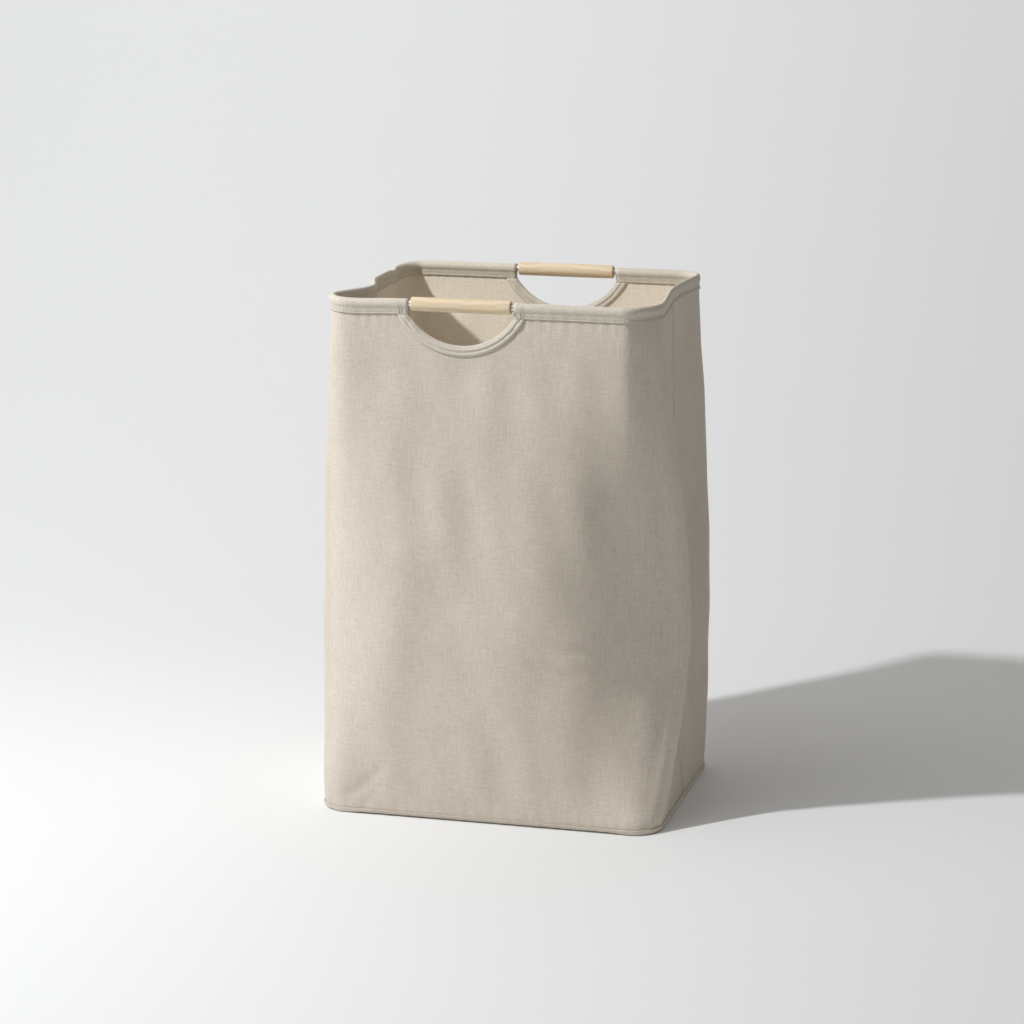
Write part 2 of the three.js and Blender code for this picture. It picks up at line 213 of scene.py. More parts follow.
@dataclass(frozen=True)
class BagForm:
    """The shape in which the empty bag stands: the plain rounded box, its swells, rim folds and creases."""

    height: float
    rod_height: float
    base_width: float = 0.400
    base_depth: float = 0.300
    base_corner: float = 0.032
    rim_width: float = 0.388
    rim_depth: float = 0.288
    rim_corner: float = 0.036
    peak_power: float = 0.75
    sharpness: float = 1.6
    fold_reach: float = 0.170
    ripple: float = 0.0009
    ripple_waves: int = 14
    ripple_lengths: tuple[float, float] = (0.05, 0.16)
    ripple_slant: float = 0.5
    ripple_level_share: float = 0.3
    ripple_foot_fade: float = 0.05
    ripple_top_gap: float = 0.03
    ripple_top_fade: float = 0.06
    pucker: float = 0.00035
    pucker_reach: float = 0.014
    rim_pucker: Pucker = Pucker(97, 9, 2.2)
    rim_pucker_drop: float = 0.016
    base_pucker: Pucker = Pucker(83, 7, 2.6)
    base_pucker_height: float = 0.008
    swells: tuple[Swell, ...] = (
        Swell(0.01, 0.06, -0.015),
        Swell(0.40, 0.177, 0.007, under=0.084),
        Swell(0.65, 0.056, 0.003),
    )
    corner_pushes: tuple[Swell, ...] = (Swell(0.185, 0.05, 0.0165), Swell(0.81, 0.06, -0.0165))
    facets: tuple[Facet, ...] = (
        Facet(0.219, reach=0.178, depth=0.073, bend=2.5, to_left=True, rise=0.85, under=0.040),
        Facet(0.784, reach=0.100, depth=0.046, bend=2.8, to_left=False, rise=1.2, under=0.040),
    )
    facet_foot: float = 0.012
    rim_facet: Facet = Facet(0.219, reach=0.022, depth=0.010, bend=1.5, to_left=True)
    rim_folds: tuple[RimFold, ...] = (
        RimFold(0.9, 0.068, -0.024),
        RimFold(1.06, 0.2, -0.021),
        RimFold(1.96, 0.16, -0.014),
    )
    rim_droops: tuple[RimFold, ...] = (
        RimFold(0.74, 0.05, -0.0016),
        RimFold(1.17, 0.05, -0.0050),
    )
    creases: tuple[Crease, ...] = (
        Crease((0.762, 0.014), (0.680, 0.062), 0.0065, -0.0013, 0.004),
        Crease((0.717, 0.010), (0.686, 0.036), 0.0040, -0.0009),
        Crease((0.440, 0.234), (0.310, 0.206), 0.0060, -0.0013, 0.007),
        Crease((0.420, 0.198), (0.330, 0.180), 0.0055, -0.0010, 0.006),
        Crease((0.085, 0.030), (0.070, 0.150), 0.0060, -0.0035),
        Crease((1.740, 0.016), (1.650, 0.070), 0.0070, -0.0013, 0.005),
        Crease((1.350, 0.300), (1.460, 0.330), 0.0065, -0.0012, 0.006),
    )

    @property
    def half_side(self) -> float:
        """Half the straight part of a narrow side."""
        return self.base_depth / 2 - self.base_corner

    @property
    def corner(self) -> float:
        """The length of a corner at the base."""
        return self.base_corner * math.pi / 2

    @property
    def face(self) -> float:
        """The straight part of a broad face."""
        return self.base_width - 2 * self.base_corner

    @property
    def face_start(self) -> float:
        """Where a shell's face starts."""
        return self.half_side + self.corner

    @property
    def face_middle(self) -> float:
        """The middle of a shell's face."""
        return self.face_start + self.face / 2

    @property
    def face_end(self) -> float:
        """Where a shell's face ends."""
        return self.face_start + self.face

    @property
    def shell(self) -> float:
        """The width of a shell, from side seam to side seam."""
        return 2 * self.face_middle

    @property
    def round(self) -> float:
        """The way round the whole bag."""
        return 2 * self.shell

    def box_at(self, z: Array) -> tuple[Array, Array, Array]:
        """Return the plain box at a height.

        Args:
            z: heights.

        Returns:
            The radius of its corners, and how far their middles lie from the middle in X and Y.
        """
        share = z / self.height
        radius = self.base_corner + (self.rim_corner - self.base_corner) * share
        corner_x = (self.base_width + (self.rim_width - self.base_width) * share) / 2 - radius
        corner_y = (self.base_depth + (self.rim_depth - self.base_depth) * share) / 2 - radius
        return radius, corner_x, corner_y

    def growth(self, z: Array, under: float) -> Array:
        """Return how much of a swell there is at a height."""
        share = np.clip(z / (self.rod_height - under), 0.0, 1.0)
        return np.maximum(0.0, np.sin(math.pi * share**self.peak_power)) ** self.sharpness

    def rim_share(self, z: Array) -> Array:
        """Return how much of the rim's own folds there is at a height."""
        return bell(np.minimum(z - self.rod_height, 0.0), self.fold_reach)

    def bump(self, fold: Swell | RimFold, place: Array, period: float) -> Array:
        """Return how near places are to a swell or a fold: one at its middle, fading out over its spread."""
        return bell(way_round(fold.at * self.shell, place, period), fold.spread * self.shell)

    def along_face(self, x: Array, z: Array) -> Array:
        """Return the place along a shell that is x across its face. x is to the right, seen from outside."""
        _, corner_x, _ = self.box_at(z)
        return self.face_middle - x * self.face / (2 * corner_x)

    def across_face(self, s: Array, z: Array) -> Array:
        """Return how far across a face a place along its shell is."""
        _, corner_x, _ = self.box_at(z)
        return (self.face_middle - s) * 2 * corner_x / self.face

    def crease_height(self, s: Array, z: Array) -> Array:
        """Return how far the creases lift the cloth at the given places."""
        total = np.zeros_like(s)
        place = np.mod(s, self.round)
        for crease in self.creases:
            start = np.array([crease.start[0] * self.shell, crease.start[1]])
            end = np.array([crease.end[0] * self.shell, crease.end[1]])
            line = end - start
            length = float(np.hypot(*line))
            way = line / length
            near = np.abs(place - start[0]) < length + 6 * crease.width
            ds, dz = place[near] - start[0], z[near] - start[1]
            along = (ds * way[0] + dz * way[1]) / length
            aside = -ds * way[1] + dz * way[0] - crease.sag * 4 * along * (1 - along)
            fade = smooth_step(along * 4 + 0.5) * smooth_step((1 - along) * 4 + 0.5)
            total[near] += crease.by * fade * bell(aside, crease.width)
        return total

    def ripples(self, s: Array, z: Array) -> Array:
        """Return the slack cloth's small waves, and the puckers along its sewn edges."""
        waves = np.zeros_like(s)
        random = np.random.default_rng(7)
        for _ in range(self.ripple_waves):
            length = random.uniform(*self.ripple_lengths)
            slant = random.uniform(-self.ripple_slant, self.ripple_slant)
            angle = slant + (math.pi / 2 if random.random() < self.ripple_level_share else 0.0)
            rounds = max(1.0, round(self.round * math.cos(angle) / length)) if abs(angle) < 1 else 0.0
            phase = random.uniform(0.0, 2 * math.pi)
            waves += np.sin(2 * math.pi * (rounds * s / self.round + math.sin(angle) * z / length) + phase)
        waves *= self.ripple / math.sqrt(self.ripple_waves)
        from_top = self.rod_height - self.ripple_top_gap - z
        waves *= smooth_step(z / self.ripple_foot_fade) * smooth_step(from_top / self.ripple_top_fade)
        rim_edge = bell(self.rod_height - self.rim_pucker_drop - z, self.pucker_reach)
        base_edge = bell(z - self.base_pucker_height, self.pucker_reach)
        rim_part = self.rim_pucker.height(s, self.round) * rim_edge
        base_part = self.base_pucker.height(s, self.round) * base_edge
        return waves + self.pucker * (rim_part + base_part)

    def set_back(self, t: Array, z: Array) -> Array:
        """Return how far the corners' facets set a shell back, t along it from its own seam."""
        total = np.zeros_like(t)
        above = np.maximum(z - self.facet_foot, 0.0)
        for facet in self.facets:
            share = self.growth(above, facet.under) ** facet.rise
            total += facet.depth * share * facet.slope(t, self.shell)
        return total + self.rim_facet.depth * self.rim_share(z) * self.rim_facet.slope(t, self.shell)

    def middle(self, s: Array, z: Array) -> Array:
        """Return the middle of the wall at the given places.

        Args:
            s: places round the bag.
            z: heights.

        Returns:
            One row of x, y and z for each place.
        """
        radius, corner_x, corner_y = self.box_at(z)
        place = np.mod(s, self.round)
        turned = np.where(place < self.shell, 1.0, -1.0)
        t = np.mod(place, self.shell)
        to_corner = np.clip((t - self.half_side) / self.corner, 0.0, 1.0)
        from_corner = np.clip((t - self.face_end) / self.corner, 0.0, 1.0)
        angle = (to_corner + from_corner) * math.pi / 2
        across = np.clip((self.face_middle - t) / (self.face / 2), -1.0, 1.0)
        forwards = np.minimum(np.minimum(t, self.shell - t), self.half_side) / self.half_side
        out = radius + self.crease_height(place, z) + self.ripples(place, z)
        for swell in self.swells:
            out = out + swell.by * self.growth(z, swell.under) * self.bump(swell, place, self.shell)
        fading = self.rim_share(z)
        for fold in self.rim_folds:
            out = out + fold.by * fading * np.cos(angle) ** 2 * self.bump(fold, place, self.round)
        droop = np.zeros_like(z)
        for fold in self.rim_droops:
            droop = droop + fold.by * fading * self.bump(fold, place, self.round)
        x = corner_x * across + out * np.cos(angle)
        for push in self.corner_pushes:
            x = x + push.by * self.growth(z, push.under) * self.bump(push, place, self.shell)
        y = -corner_y * forwards - out * np.sin(angle) + self.set_back(t, z) * forwards
        return np.stack([turned * x, turned * y, z + droop], axis=-1)

    def drape(self, flat: Array) -> Array:
        """Move points from cloth coordinates to their place on the bag.

        Args:
            flat: one row of s, z and w for each point.

        Returns:
            One row of x, y and z for each point.
        """
        step = 0.5 * MM
        s, z, w = flat[:, 0], flat[:, 1], flat[:, 2]
        round_way = self.middle(s + step, z) - self.middle(s - step, z)
        up_way = self.middle(s, z + step) - self.middle(s, z - step)
        outwards = np.cross(up_way, round_way)
        outwards /= np.linalg.norm(outwards, axis=1, keepdims=True)
        return self.middle(s, z) + outwards * w[:, None]


# --------------------------------------------------------------------------------------------------
# Finishes
# --------------------------------------------------------------------------------------------------


class Recipe:
    """A material under construction: a Principled surface and the nodes that feed it."""

    def __init__(self, name: str, roughness: float, **sockets: float) -> None:
        """Start a material.

        Args:
            name: the material's name.
            roughness: the roughness of the plain surface.
            sockets: other values set on the shader's own sockets, with underscores for spaces.
        """
        self.material = bpy.data.materials.new(name)
        self.material.use_nodes = True
        self.tree = self.material.node_tree
        self.surface = self.tree.nodes["Principled BSDF"]
        self.surface.inputs["Roughness"].default_value = roughness
        for socket, value in sockets.items():
            self.surface.inputs[socket.replace("_", " ")].default_value = value

    def node(self, kind: str, inputs: dict | None = None, **settings: object) -> bpy.types.Node:
        """Add a node.

        Args:
            kind: the node's type, without the ShaderNode prefix.
            inputs: values or sockets for its inputs, by name or number.
            settings: attributes of the node.

        Returns:
            The new node.
        """
        made = self.tree.nodes.new("ShaderNode" + kind)
        for setting, value in settings.items():
            setattr(made, setting, value)
        for key, value in (inputs or {}).items():
            if isinstance(value, bpy.types.NodeSocket):
                self.tree.links.new(value, made.inputs[key])
            else:
                made.inputs[key].default_value = value
        return made

    def coordinates(self, output: str) -> bpy.types.NodeSocket:
        """Return the UV or Object coordinates."""
        return self.node("TexCoord").outputs[output]

    def stretched(
        self, vector: bpy.types.NodeSocket, scale: Sequence[float], turn: float = 0.0
    ) -> bpy.types.NodeSocket:
        """Return a vector scaled along its axes and turned about Z."""
        inputs = {"Vector": vector, "Scale": tuple(scale), "Rotation": (0.0, 0.0, turn)}
        return self.node("Mapping", inputs).outputs["Vector"]

    def noise(
        self, vector: bpy.types.NodeSocket, scale: float, detail: float = 2.0, roughness: float = 0.5
    ) -> bpy.types.NodeSocket:
        """Return a noise pattern, about 0.5 on average."""
        inputs = {"Vector": vector, "Scale": scale, "Detail": detail, "Roughness": roughness}
        return self.node("TexNoise", inputs).outputs["Fac"]

    def waves(
        self, vector: bpy.types.NodeSocket, pitch: float, axis: str, wander: float
    ) -> bpy.types.NodeSocket:
        """Return parallel waves of a given pitch in metres, which wander a little."""
        inputs = {
            "Vector": vector,
            "Scale": 2 * math.pi / (20 * pitch),
            "Distortion": wander,
            "Detail": 1.0,
            "Detail Scale": 0.35,
        }
        return self.node("TexWave", inputs, bands_direction=axis).outputs["Fac"]

    def math(self, operation: str, *values: object) -> bpy.types.NodeSocket:
        """Return the result of a Math node."""
        return self.node("Math", dict(enumerate(values)), operation=operation).outputs["Value"]

    def total(self, first: bpy.types.NodeSocket, *others: bpy.types.NodeSocket) -> bpy.types.NodeSocket:
        """Return the sum of several values."""
        for other in others:
            first = self.math("ADD", first, other)
        return first

    def weighted(self, *parts: tuple[bpy.types.NodeSocket, float]) -> bpy.types.NodeSocket:
        """Return the sum of several values, each times its weight."""
        return self.total(*(self.math("MULTIPLY", value, weight) for value, weight in parts))

    def spread(self, value: bpy.types.NodeSocket, low: float, high: float) -> bpy.types.NodeSocket:
        """Return a value of 0 to 1 as one from low to high, or the other way round."""
        inputs = {"Value": value, "To Min": low, "To Max": high}
        return self.node("MapRange", inputs).outputs["Result"]

    def window(self, value: bpy.types.NodeSocket, start: float, end: float) -> bpy.types.NodeSocket:
        """Return 0 up to start, 1 from end on, and a ramp between them."""
        inputs = {"Value": value, "From Min": start, "From Max": end}
        return self.node("MapRange", inputs, clamp=True).outputs["Result"]

    def mix(self, share: object, first: object, second: object, blend: str = "MIX") -> bpy.types.NodeSocket:
        """Return two colours mixed."""
        made = self.node("Mix", data_type="RGBA", blend_type=blend)
        ends = {"Factor": share, "A": first, "B": second}
        for name, value in ends.items():
            fitting = (i for i in made.inputs if i.name == name and i.type in ("RGBA", "VALUE") and i.enabled)
            socket = next(fitting)
            if isinstance(value, bpy.types.NodeSocket):
                self.tree.links.new(value, socket)
            else:
                socket.default_value = value
        return next(o for o in made.outputs if o.type == "RGBA")

    def finish(
        self,
        colour: object,
        height: bpy.types.NodeSocket,
        depth: float,
        roughness: bpy.types.NodeSocket | None = None,
    ) -> bpy.types.Material:
        """Connect the colour, the bump and the roughness.

        Args:
            colour: the surface's colour.
            height: the bump's height, 0 to 1.
            depth: how deep the bump is, in metres.
            roughness: the roughness, where it varies.

        Returns:
            The finished material.
        """
        bump = self.node("Bump", {"Height": height, "Distance": depth, "Strength": 1.0})
        self.tree.links.new(bump.outputs["Normal"], self.surface.inputs["Normal"])
        self.tree.links.new(colour, self.surface.inputs["Base Color"])
        if roughness is not None:
            self.tree.links.new(roughness, self.surface.inputs["Roughness"])
        return self.material


@dataclass(frozen=True)
class WovenFinish:
    """A plain-woven cloth, on UVs in metres.

    `pitch` is the distance between the warp's threads and `depth` how deep the relief is. `slub`, `fleck` and
    `mottle` are how strongly thick threads, dark flecks and slow clouds of colour show.
    """

    name: str
    colour: Colour
    pitch: float
    depth: float
    slub: float
    fleck: float
    mottle: float
    sheen: float = 0.10
    grain: float = 0.16
    weft_share: float = 1.12
    slub_along_scale: tuple[float, float, float] = (55.0, 620.0, 1.0)
    slub_up_scale: tuple[float, float, float] = (560.0, 42.0, 1.0)
    fleck_scale: tuple[float, float, float] = (210.0, 340.0, 1.0)
    fleck_colour: Colour = (0.72, 0.60, 0.45, 1.0)

    def make(self) -> bpy.types.Material:
        """Return the cloth's material."""
        sockets = {"Sheen_Weight": self.sheen, "Sheen_Roughness": 0.6, "Specular_IOR_Level": 0.25}
        recipe = Recipe(self.name, 0.92, **sockets)
        place = recipe.coordinates("UV")
        warp = recipe.waves(place, self.pitch, "X", 0.9)
        weft = recipe.waves(place, self.pitch * self.weft_share, "Y", 0.9)
        weave = recipe.weighted((warp, 0.5), (weft, 0.5))
        slub_along = recipe.noise(recipe.stretched(place, self.slub_along_scale), 1.0, 2.0, 0.55)
        slub_up = recipe.noise(recipe.stretched(place, self.slub_up_scale), 1.0, 2.0, 0.55)
        slubs = recipe.weighted((slub_along, 0.5), (slub_up, 0.5))
        grain = recipe.noise(place, 330.0, 3.0, 0.65)
        cloud = recipe.noise(place, 9.0, 3.0, 0.55)
        flecks = recipe.window(recipe.noise(recipe.stretched(place, self.fleck_scale), 1.0, 1.0), 0.69, 0.78)
        tone = recipe.total(
            recipe.spread(slubs, 1 - self.slub, 1 + self.slub),
            recipe.spread(grain, -self.grain, self.grain),
            recipe.spread(cloud, -self.mottle, self.mottle),
            recipe.spread(weave, -0.02, 0.02),
        )
        grey = recipe.node("CombineColor", {0: tone, 1: tone, 2: tone}).outputs[0]
        colour = recipe.mix(1.0, self.colour, grey, "MULTIPLY")
        speck = recipe.mix(1.0, self.colour, self.fleck_colour, "MULTIPLY")
        colour = recipe.mix(recipe.math("MULTIPLY", flecks, self.fleck), colour, speck)
        height = recipe.weighted((weave, 0.45), (slubs, 0.9), (grain, 0.25))
        return recipe.finish(colour, height, self.depth, recipe.spread(grain, 0.84, 0.98))


@dataclass(frozen=True)
class ThreadFinish:
    """Twisted cotton sewing thread, in Object coordinates."""

    name: str
    colour: Colour

    def make(self) -> bpy.types.Material:
        """Return the thread's material."""
        recipe = Recipe(self.name, 0.8, Sheen_Weight=0.15)
        place = recipe.coordinates("Object")
        twist = recipe.waves(recipe.stretched(place, (1.0, 1.0, 1.0), 0.7), 0.0006, "DIAGONAL", 0.4)
        fuzz = recipe.noise(place, 900.0)
        colour = recipe.mix(recipe.math("MULTIPLY", twist, 0.25), self.colour, (0.50, 0.45, 0.38, 1.0))
        return recipe.finish(colour, twist, 0.00012, recipe.spread(fuzz, 0.7, 0.92))


@dataclass(frozen=True)
class WoodFinish:
    """Pale turned wood with its grain along X, in Object coordinates."""

    name: str
    light: Colour
    dark: Colour

    def make(self) -> bpy.types.Material:
        """Return the wood's material."""
        recipe = Recipe(self.name, 0.5, Specular_IOR_Level=0.4)
        place = recipe.coordinates("Object")
        wander = recipe.noise(recipe.stretched(place, (9.0, 45.0, 45.0)), 1.0, 3.0)
        lifted = recipe.node("VectorMath", {0: place, 1: (0.0, 0.004, 0.004)}, operation="ADD").outputs[0]
        streaks = recipe.noise(recipe.stretched(lifted, (14.0, 620.0, 620.0)), 1.0, 4.0, 0.62)
        pores = recipe.noise(recipe.stretched(place, (120.0, 2600.0, 2600.0)), 1.0, 2.0)
        rings = recipe.waves(recipe.stretched(place, (1.5, 1.0, 1.0)), 0.0062, "Z", 5.0)
        tone = recipe.weighted((streaks, 0.55), (rings, 0.28), (wander, 0.25))
        colour = recipe.mix(recipe.window(tone, 0.3, 0.85), self.light, self.dark)
        dots = recipe.window(pores, 0.64, 0.74)
        colour = recipe.mix(recipe.math("MULTIPLY", dots, 0.28), colour, self.dark)
        height = recipe.weighted((streaks, 0.5), (dots, -0.5))
        return recipe.finish(colour, height, 0.00008, recipe.spread(streaks, 0.42, 0.6))


@dataclass(frozen=True)
class MetalFinish:
    """Drawn aluminium tube, with fine lines along X, in Object coordinates."""

    name: str
    colour: Colour

    def make(self) -> bpy.types.Material:
        """Return the metal's material."""
        recipe = Recipe(self.name, 0.35, Metallic=1.0)
        place = recipe.coordinates("Object")
        lines = recipe.noise(recipe.stretched(place, (25.0, 4200.0, 4200.0)), 1.0, 3.0)
        stains = recipe.noise(place, 90.0, 3.0)
        colour = recipe.mix(recipe.spread(stains, 0.0, 0.35), self.colour, (0.55, 0.55, 0.56, 1.0))
        return recipe.finish(colour, lines, 0.00004, recipe.spread(lines, 0.26, 0.48))


@dataclass(frozen=True)
class MouldedFinish:
    """Moulded plastic with a fine spark-eroded texture, in Object coordinates."""

    name: str
    colour: Colour

    def make(self) -> bpy.types.Material:
        """Return the plastic's material."""
        recipe = Recipe(self.name, 0.55)
        place = recipe.coordinates("Object")
        texture = recipe.noise(place, 2600.0, 2.0)
        scuffs = recipe.noise(place, 240.0, 3.0)
        colour = recipe.mix(recipe.spread(scuffs, 0.0, 0.3), self.colour, (0.14, 0.14, 0.14, 1.0))
        return recipe.finish(colour, texture, 0.00005, recipe.spread(scuffs, 0.48, 0.66))


@dataclass(frozen=True)
class BoardFinish:
    """Pressed brown fibreboard, in Object coordinates."""

    name: str
    colour: Colour

    def make(self) -> bpy.types.Material:
        """Return the board's material."""
        recipe = Recipe(self.name, 0.85)
        place = recipe.coordinates("Object")
        fibres = recipe.noise(recipe.stretched(place, (180.0, 700.0, 700.0), 0.4), 1.0, 4.0, 0.6)
        chips = recipe.noise(place, 260.0, 3.0)
        colour = recipe.mix(recipe.spread(fibres, 0.0, 0.7), self.colour, (0.34, 0.25, 0.16, 1.0))
        return recipe.finish(colour, chips, 0.00015, recipe.spread(chips, 0.78, 0.93))


@dataclass(frozen=True)
class PaperFinish:
    """The studio's seamless paper."""

    name: str
    colour: Colour

    def make(self) -> bpy.types.Material:
        """Return the paper's material."""
        recipe = Recipe(self.name, 0.9, Specular_IOR_Level=0.2)
        place = recipe.coordinates("Object")
        tooth = recipe.noise(place, 500.0, 2.0)
        cloud = recipe.noise(place, 2.0, 2.0)
        colour = recipe.mix(recipe.spread(cloud, 0.0, 0.06), self.colour, (0.80, 0.80, 0.80, 1.0))
        return recipe.finish(colour, tooth, 0.00005, recipe.spread(tooth, 0.86, 0.94))


@dataclass(frozen=True)
class Finishes:
    """Every material of the hamper and of the studio."""

    shell: bpy.types.Material
    liner: bpy.types.Material
    binding: bpy.types.Material
    thread: bpy.types.Material
    wood: bpy.types.Material
    metal: bpy.types.Material
    plastic: bpy.types.Material
    board: bpy.types.Material
    paper: bpy.types.Material

    @classmethod
    def make(cls) -> "Finishes":
        """Make all the materials."""
        return cls(
            shell=WovenFinish(
                "linen_shell",
                (0.715, 0.632, 0.540, 1.0),
                pitch=1.1 * MM,
                depth=0.55 * MM,
                slub=0.26,
                fleck=0.40,
                mottle=0.06,
            ).make(),
            liner=WovenFinish(
                "liner_cloth",
                (0.88, 0.79, 0.66, 1.0),
                pitch=0.9 * MM,
                depth=0.35 * MM,
                slub=0.18,
                fleck=0.30,
                mottle=0.04,
            ).make(),
            binding=WovenFinish(
                "linen_binding",
                (0.70, 0.635, 0.545, 1.0),
                pitch=1.0 * MM,
                depth=0.45 * MM,
                slub=0.22,
                fleck=0.35,
                mottle=0.04,
            ).make(),
            thread=ThreadFinish("sewing_thread", (0.70, 0.65, 0.56, 1.0)).make(),
            wood=WoodFinish("pale_beech", (0.84, 0.70, 0.50, 1.0), (0.70, 0.53, 0.34, 1.0)).make(),
            metal=MetalFinish("drawn_aluminium", (0.80, 0.80, 0.81, 1.0)).make(),
            plastic=MouldedFinish("black_plug", (0.03, 0.03, 0.03, 1.0)).make(),
            board=BoardFinish("fibreboard", (0.50, 0.38, 0.25, 1.0)).make(),
            paper=PaperFinish("studio_paper", (0.83, 0.83, 0.83, 1.0)).make(),
        )


# --------------------------------------------------------------------------------------------------
# Sewing: flat pieces, and how they become objects
# --------------------------------------------------------------------------------------------------


def finish_object(
    bm: bmesh.types.BMesh, name: str, finish: bpy.types.Material, body: str
) -> bpy.types.Object:
    """Turn a bmesh into a piece that rides on a body.

    Args:
        bm: the piece's mesh, in its place; it is freed.
        name: the piece's name.
        finish: its material.
        body: the body that it rides on.

    Returns:
        The new object.
    """
    mesh = bpy.data.meshes.new(name)
    bm.to_mesh(mesh)
    bm.free()
    mesh.materials.append(finish)
    mesh.shade_smooth()
    piece = bpy.data.objects.new(name, mesh)
    bpy.context.scene.collection.objects.link(piece)
    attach(piece, body)
    LOG.info("%s: %d faces", name, len(mesh.polygons))
    return piece


def thicken(piece: bpy.types.Object, thickness: float, offset: float) -> bpy.types.Object:
    """Give a sheet its thickness.

    Args:
        piece: the sheet.
        thickness: how thick the cloth is.
        offset: -1 to grow it inwards, 0 both ways.

    Returns:
        The same object.
    """
    solid = piece.modifiers.new("thickness", "SOLIDIFY")
    solid.thickness = thickness
    solid.offset = offset
    solid.use_even_offset = False
    return piece


def flat_points(bm: bmesh.types.BMesh) -> Array:
    """Return the vertices of a bmesh as rows of numbers."""
    return np.array([vertex.co for vertex in bm.verts], float).reshape(-1, 3)


def move_to(bm: bmesh.types.BMesh, points: Array) -> None:
    """Move the vertices of a bmesh to the given points."""
    for vertex, point in zip(bm.verts, points):
        vertex.co = point


def lay_pattern(bm: bmesh.types.BMesh) -> None:
    """Give a flat piece UVs in metres: its own first two coordinates."""
    layer = bm.loops.layers.uv.new("UVMap")
    for face in bm.faces:
        for loop in face.loops:
            loop[layer].uv = loop.vert.co.xy


def cloth_grid(low: tuple[float, float], high: tuple[float, float], cell: float) -> bmesh.types.BMesh:
    """Return a flat grid with its UVs laid.

    Args:
        low: its lowest s and z.
        high: its highest s and z.
        cell: about how large its cells are.

    Returns:
        The grid, with w at 0.
    """
    size = (high[0] - low[0], high[1] - low[1])
    counts = [max(1, round(length / cell)) for length in size]
    bm = bmesh.new()
    matrix = Matrix.Translation(((low[0] + high[0]) / 2, (low[1] + high[1]) / 2, 0.0))
    matrix @= Matrix.Diagonal((size[0] / 2, size[1] / 2, 1.0, 1.0))
    bmesh.ops.create_grid(bm, x_segments=counts[0], y_segments=counts[1], size=1.0, matrix=matrix)
    lay_pattern(bm)
    return bm


Section = Callable[[Array], tuple[Array, Array]]


def folded_strip(
    start: float, end: float, cell: float, rows: int, girth: float, section: Section
) -> bmesh.types.BMesh:
    """Return a strip of cloth folded along its length, still in cloth coordinates.

    Args:
        start: where it starts along the bag.
        end: where it ends.
        cell: the length of a cell along the strip.
        rows: how many cells it has across.
        girth: its cut width, for the UVs.
        section: gives w and z from rows of (along, share of the way across).

    Returns:
        The folded strip.
    """
    count = max(2, round((end - start) / cell))
    bm = bmesh.new()
    matrix = Matrix.Translation(((start + end) / 2, girth / 2, 0.0))
    matrix @= Matrix.Diagonal(((end - start) / 2, girth / 2, 1.0, 1.0))
    bmesh.ops.create_grid(bm, x_segments=count, y_segments=rows, size=1.0, matrix=matrix)
    lay_pattern(bm)
    points = flat_points(bm)
    across, up = section(np.stack([points[:, 0], points[:, 1] / girth], axis=-1))
    move_to(bm, np.stack([points[:, 0], up, across], axis=-1))
    return bm


@dataclass(frozen=True)
class Stitching:
    """Rows of stitches, each a small capsule of thread, and the distances at which they are sewn."""

    length: float = 2.9 * MM
    pitch: float = 3.9 * MM
    thickness: float = 0.75 * MM
    end_inset: float = 2 * MM
    sunk: float = 0.25 * MM
    tack_places: tuple[float, float] = (7.5 * MM, 11.5 * MM)
    tack_pitch: float = 1.5 * MM
    tack_sway: float = 0.35 * MM
    tack_top: float = 3.4 * MM
    opening_share: float = 0.53
    below_welt_top: float = 1.9 * MM
    beside_seam: float = 4 * MM

    def row(self, start: float, end: float) -> Array:
        """Return the middles of the stitches between two places."""
        count = max(1, int((end - start) / self.pitch))
        return np.linspace(start, end, count, endpoint=False) + (end - start) / (2 * count)

    def sew(self, bm: bmesh.types.BMesh, middles: Array, ends: Array, outwards: Array) -> None:
        """Add stitches.

        Args:
            bm: the mesh that takes them.
            middles: the middles of the stitches, on the bag.
            ends: a point further along each stitch.
            outwards: a point further out at each stitch.
        """
        for middle, end, out in zip(middles, ends, outwards):
            along = Vector(end - middle).normalized()
            normal = Vector(out - middle).normalized()
            aside = normal.cross(along).normalized()
            normal = along.cross(aside)
            turn = Matrix((along, aside, normal)).transposed().to_4x4()
            size = Matrix.Diagonal((self.length / 2, self.thickness / 2, self.thickness / 2, 1.0))
            bmesh.ops.create_icosphere(
                bm, subdivisions=1, radius=1.0, matrix=Matrix.Translation(Vector(middle)) @ turn @ size
            )


# --------------------------------------------------------------------------------------------------
# The hamper's sub-assemblies
# --------------------------------------------------------------------------------------------------


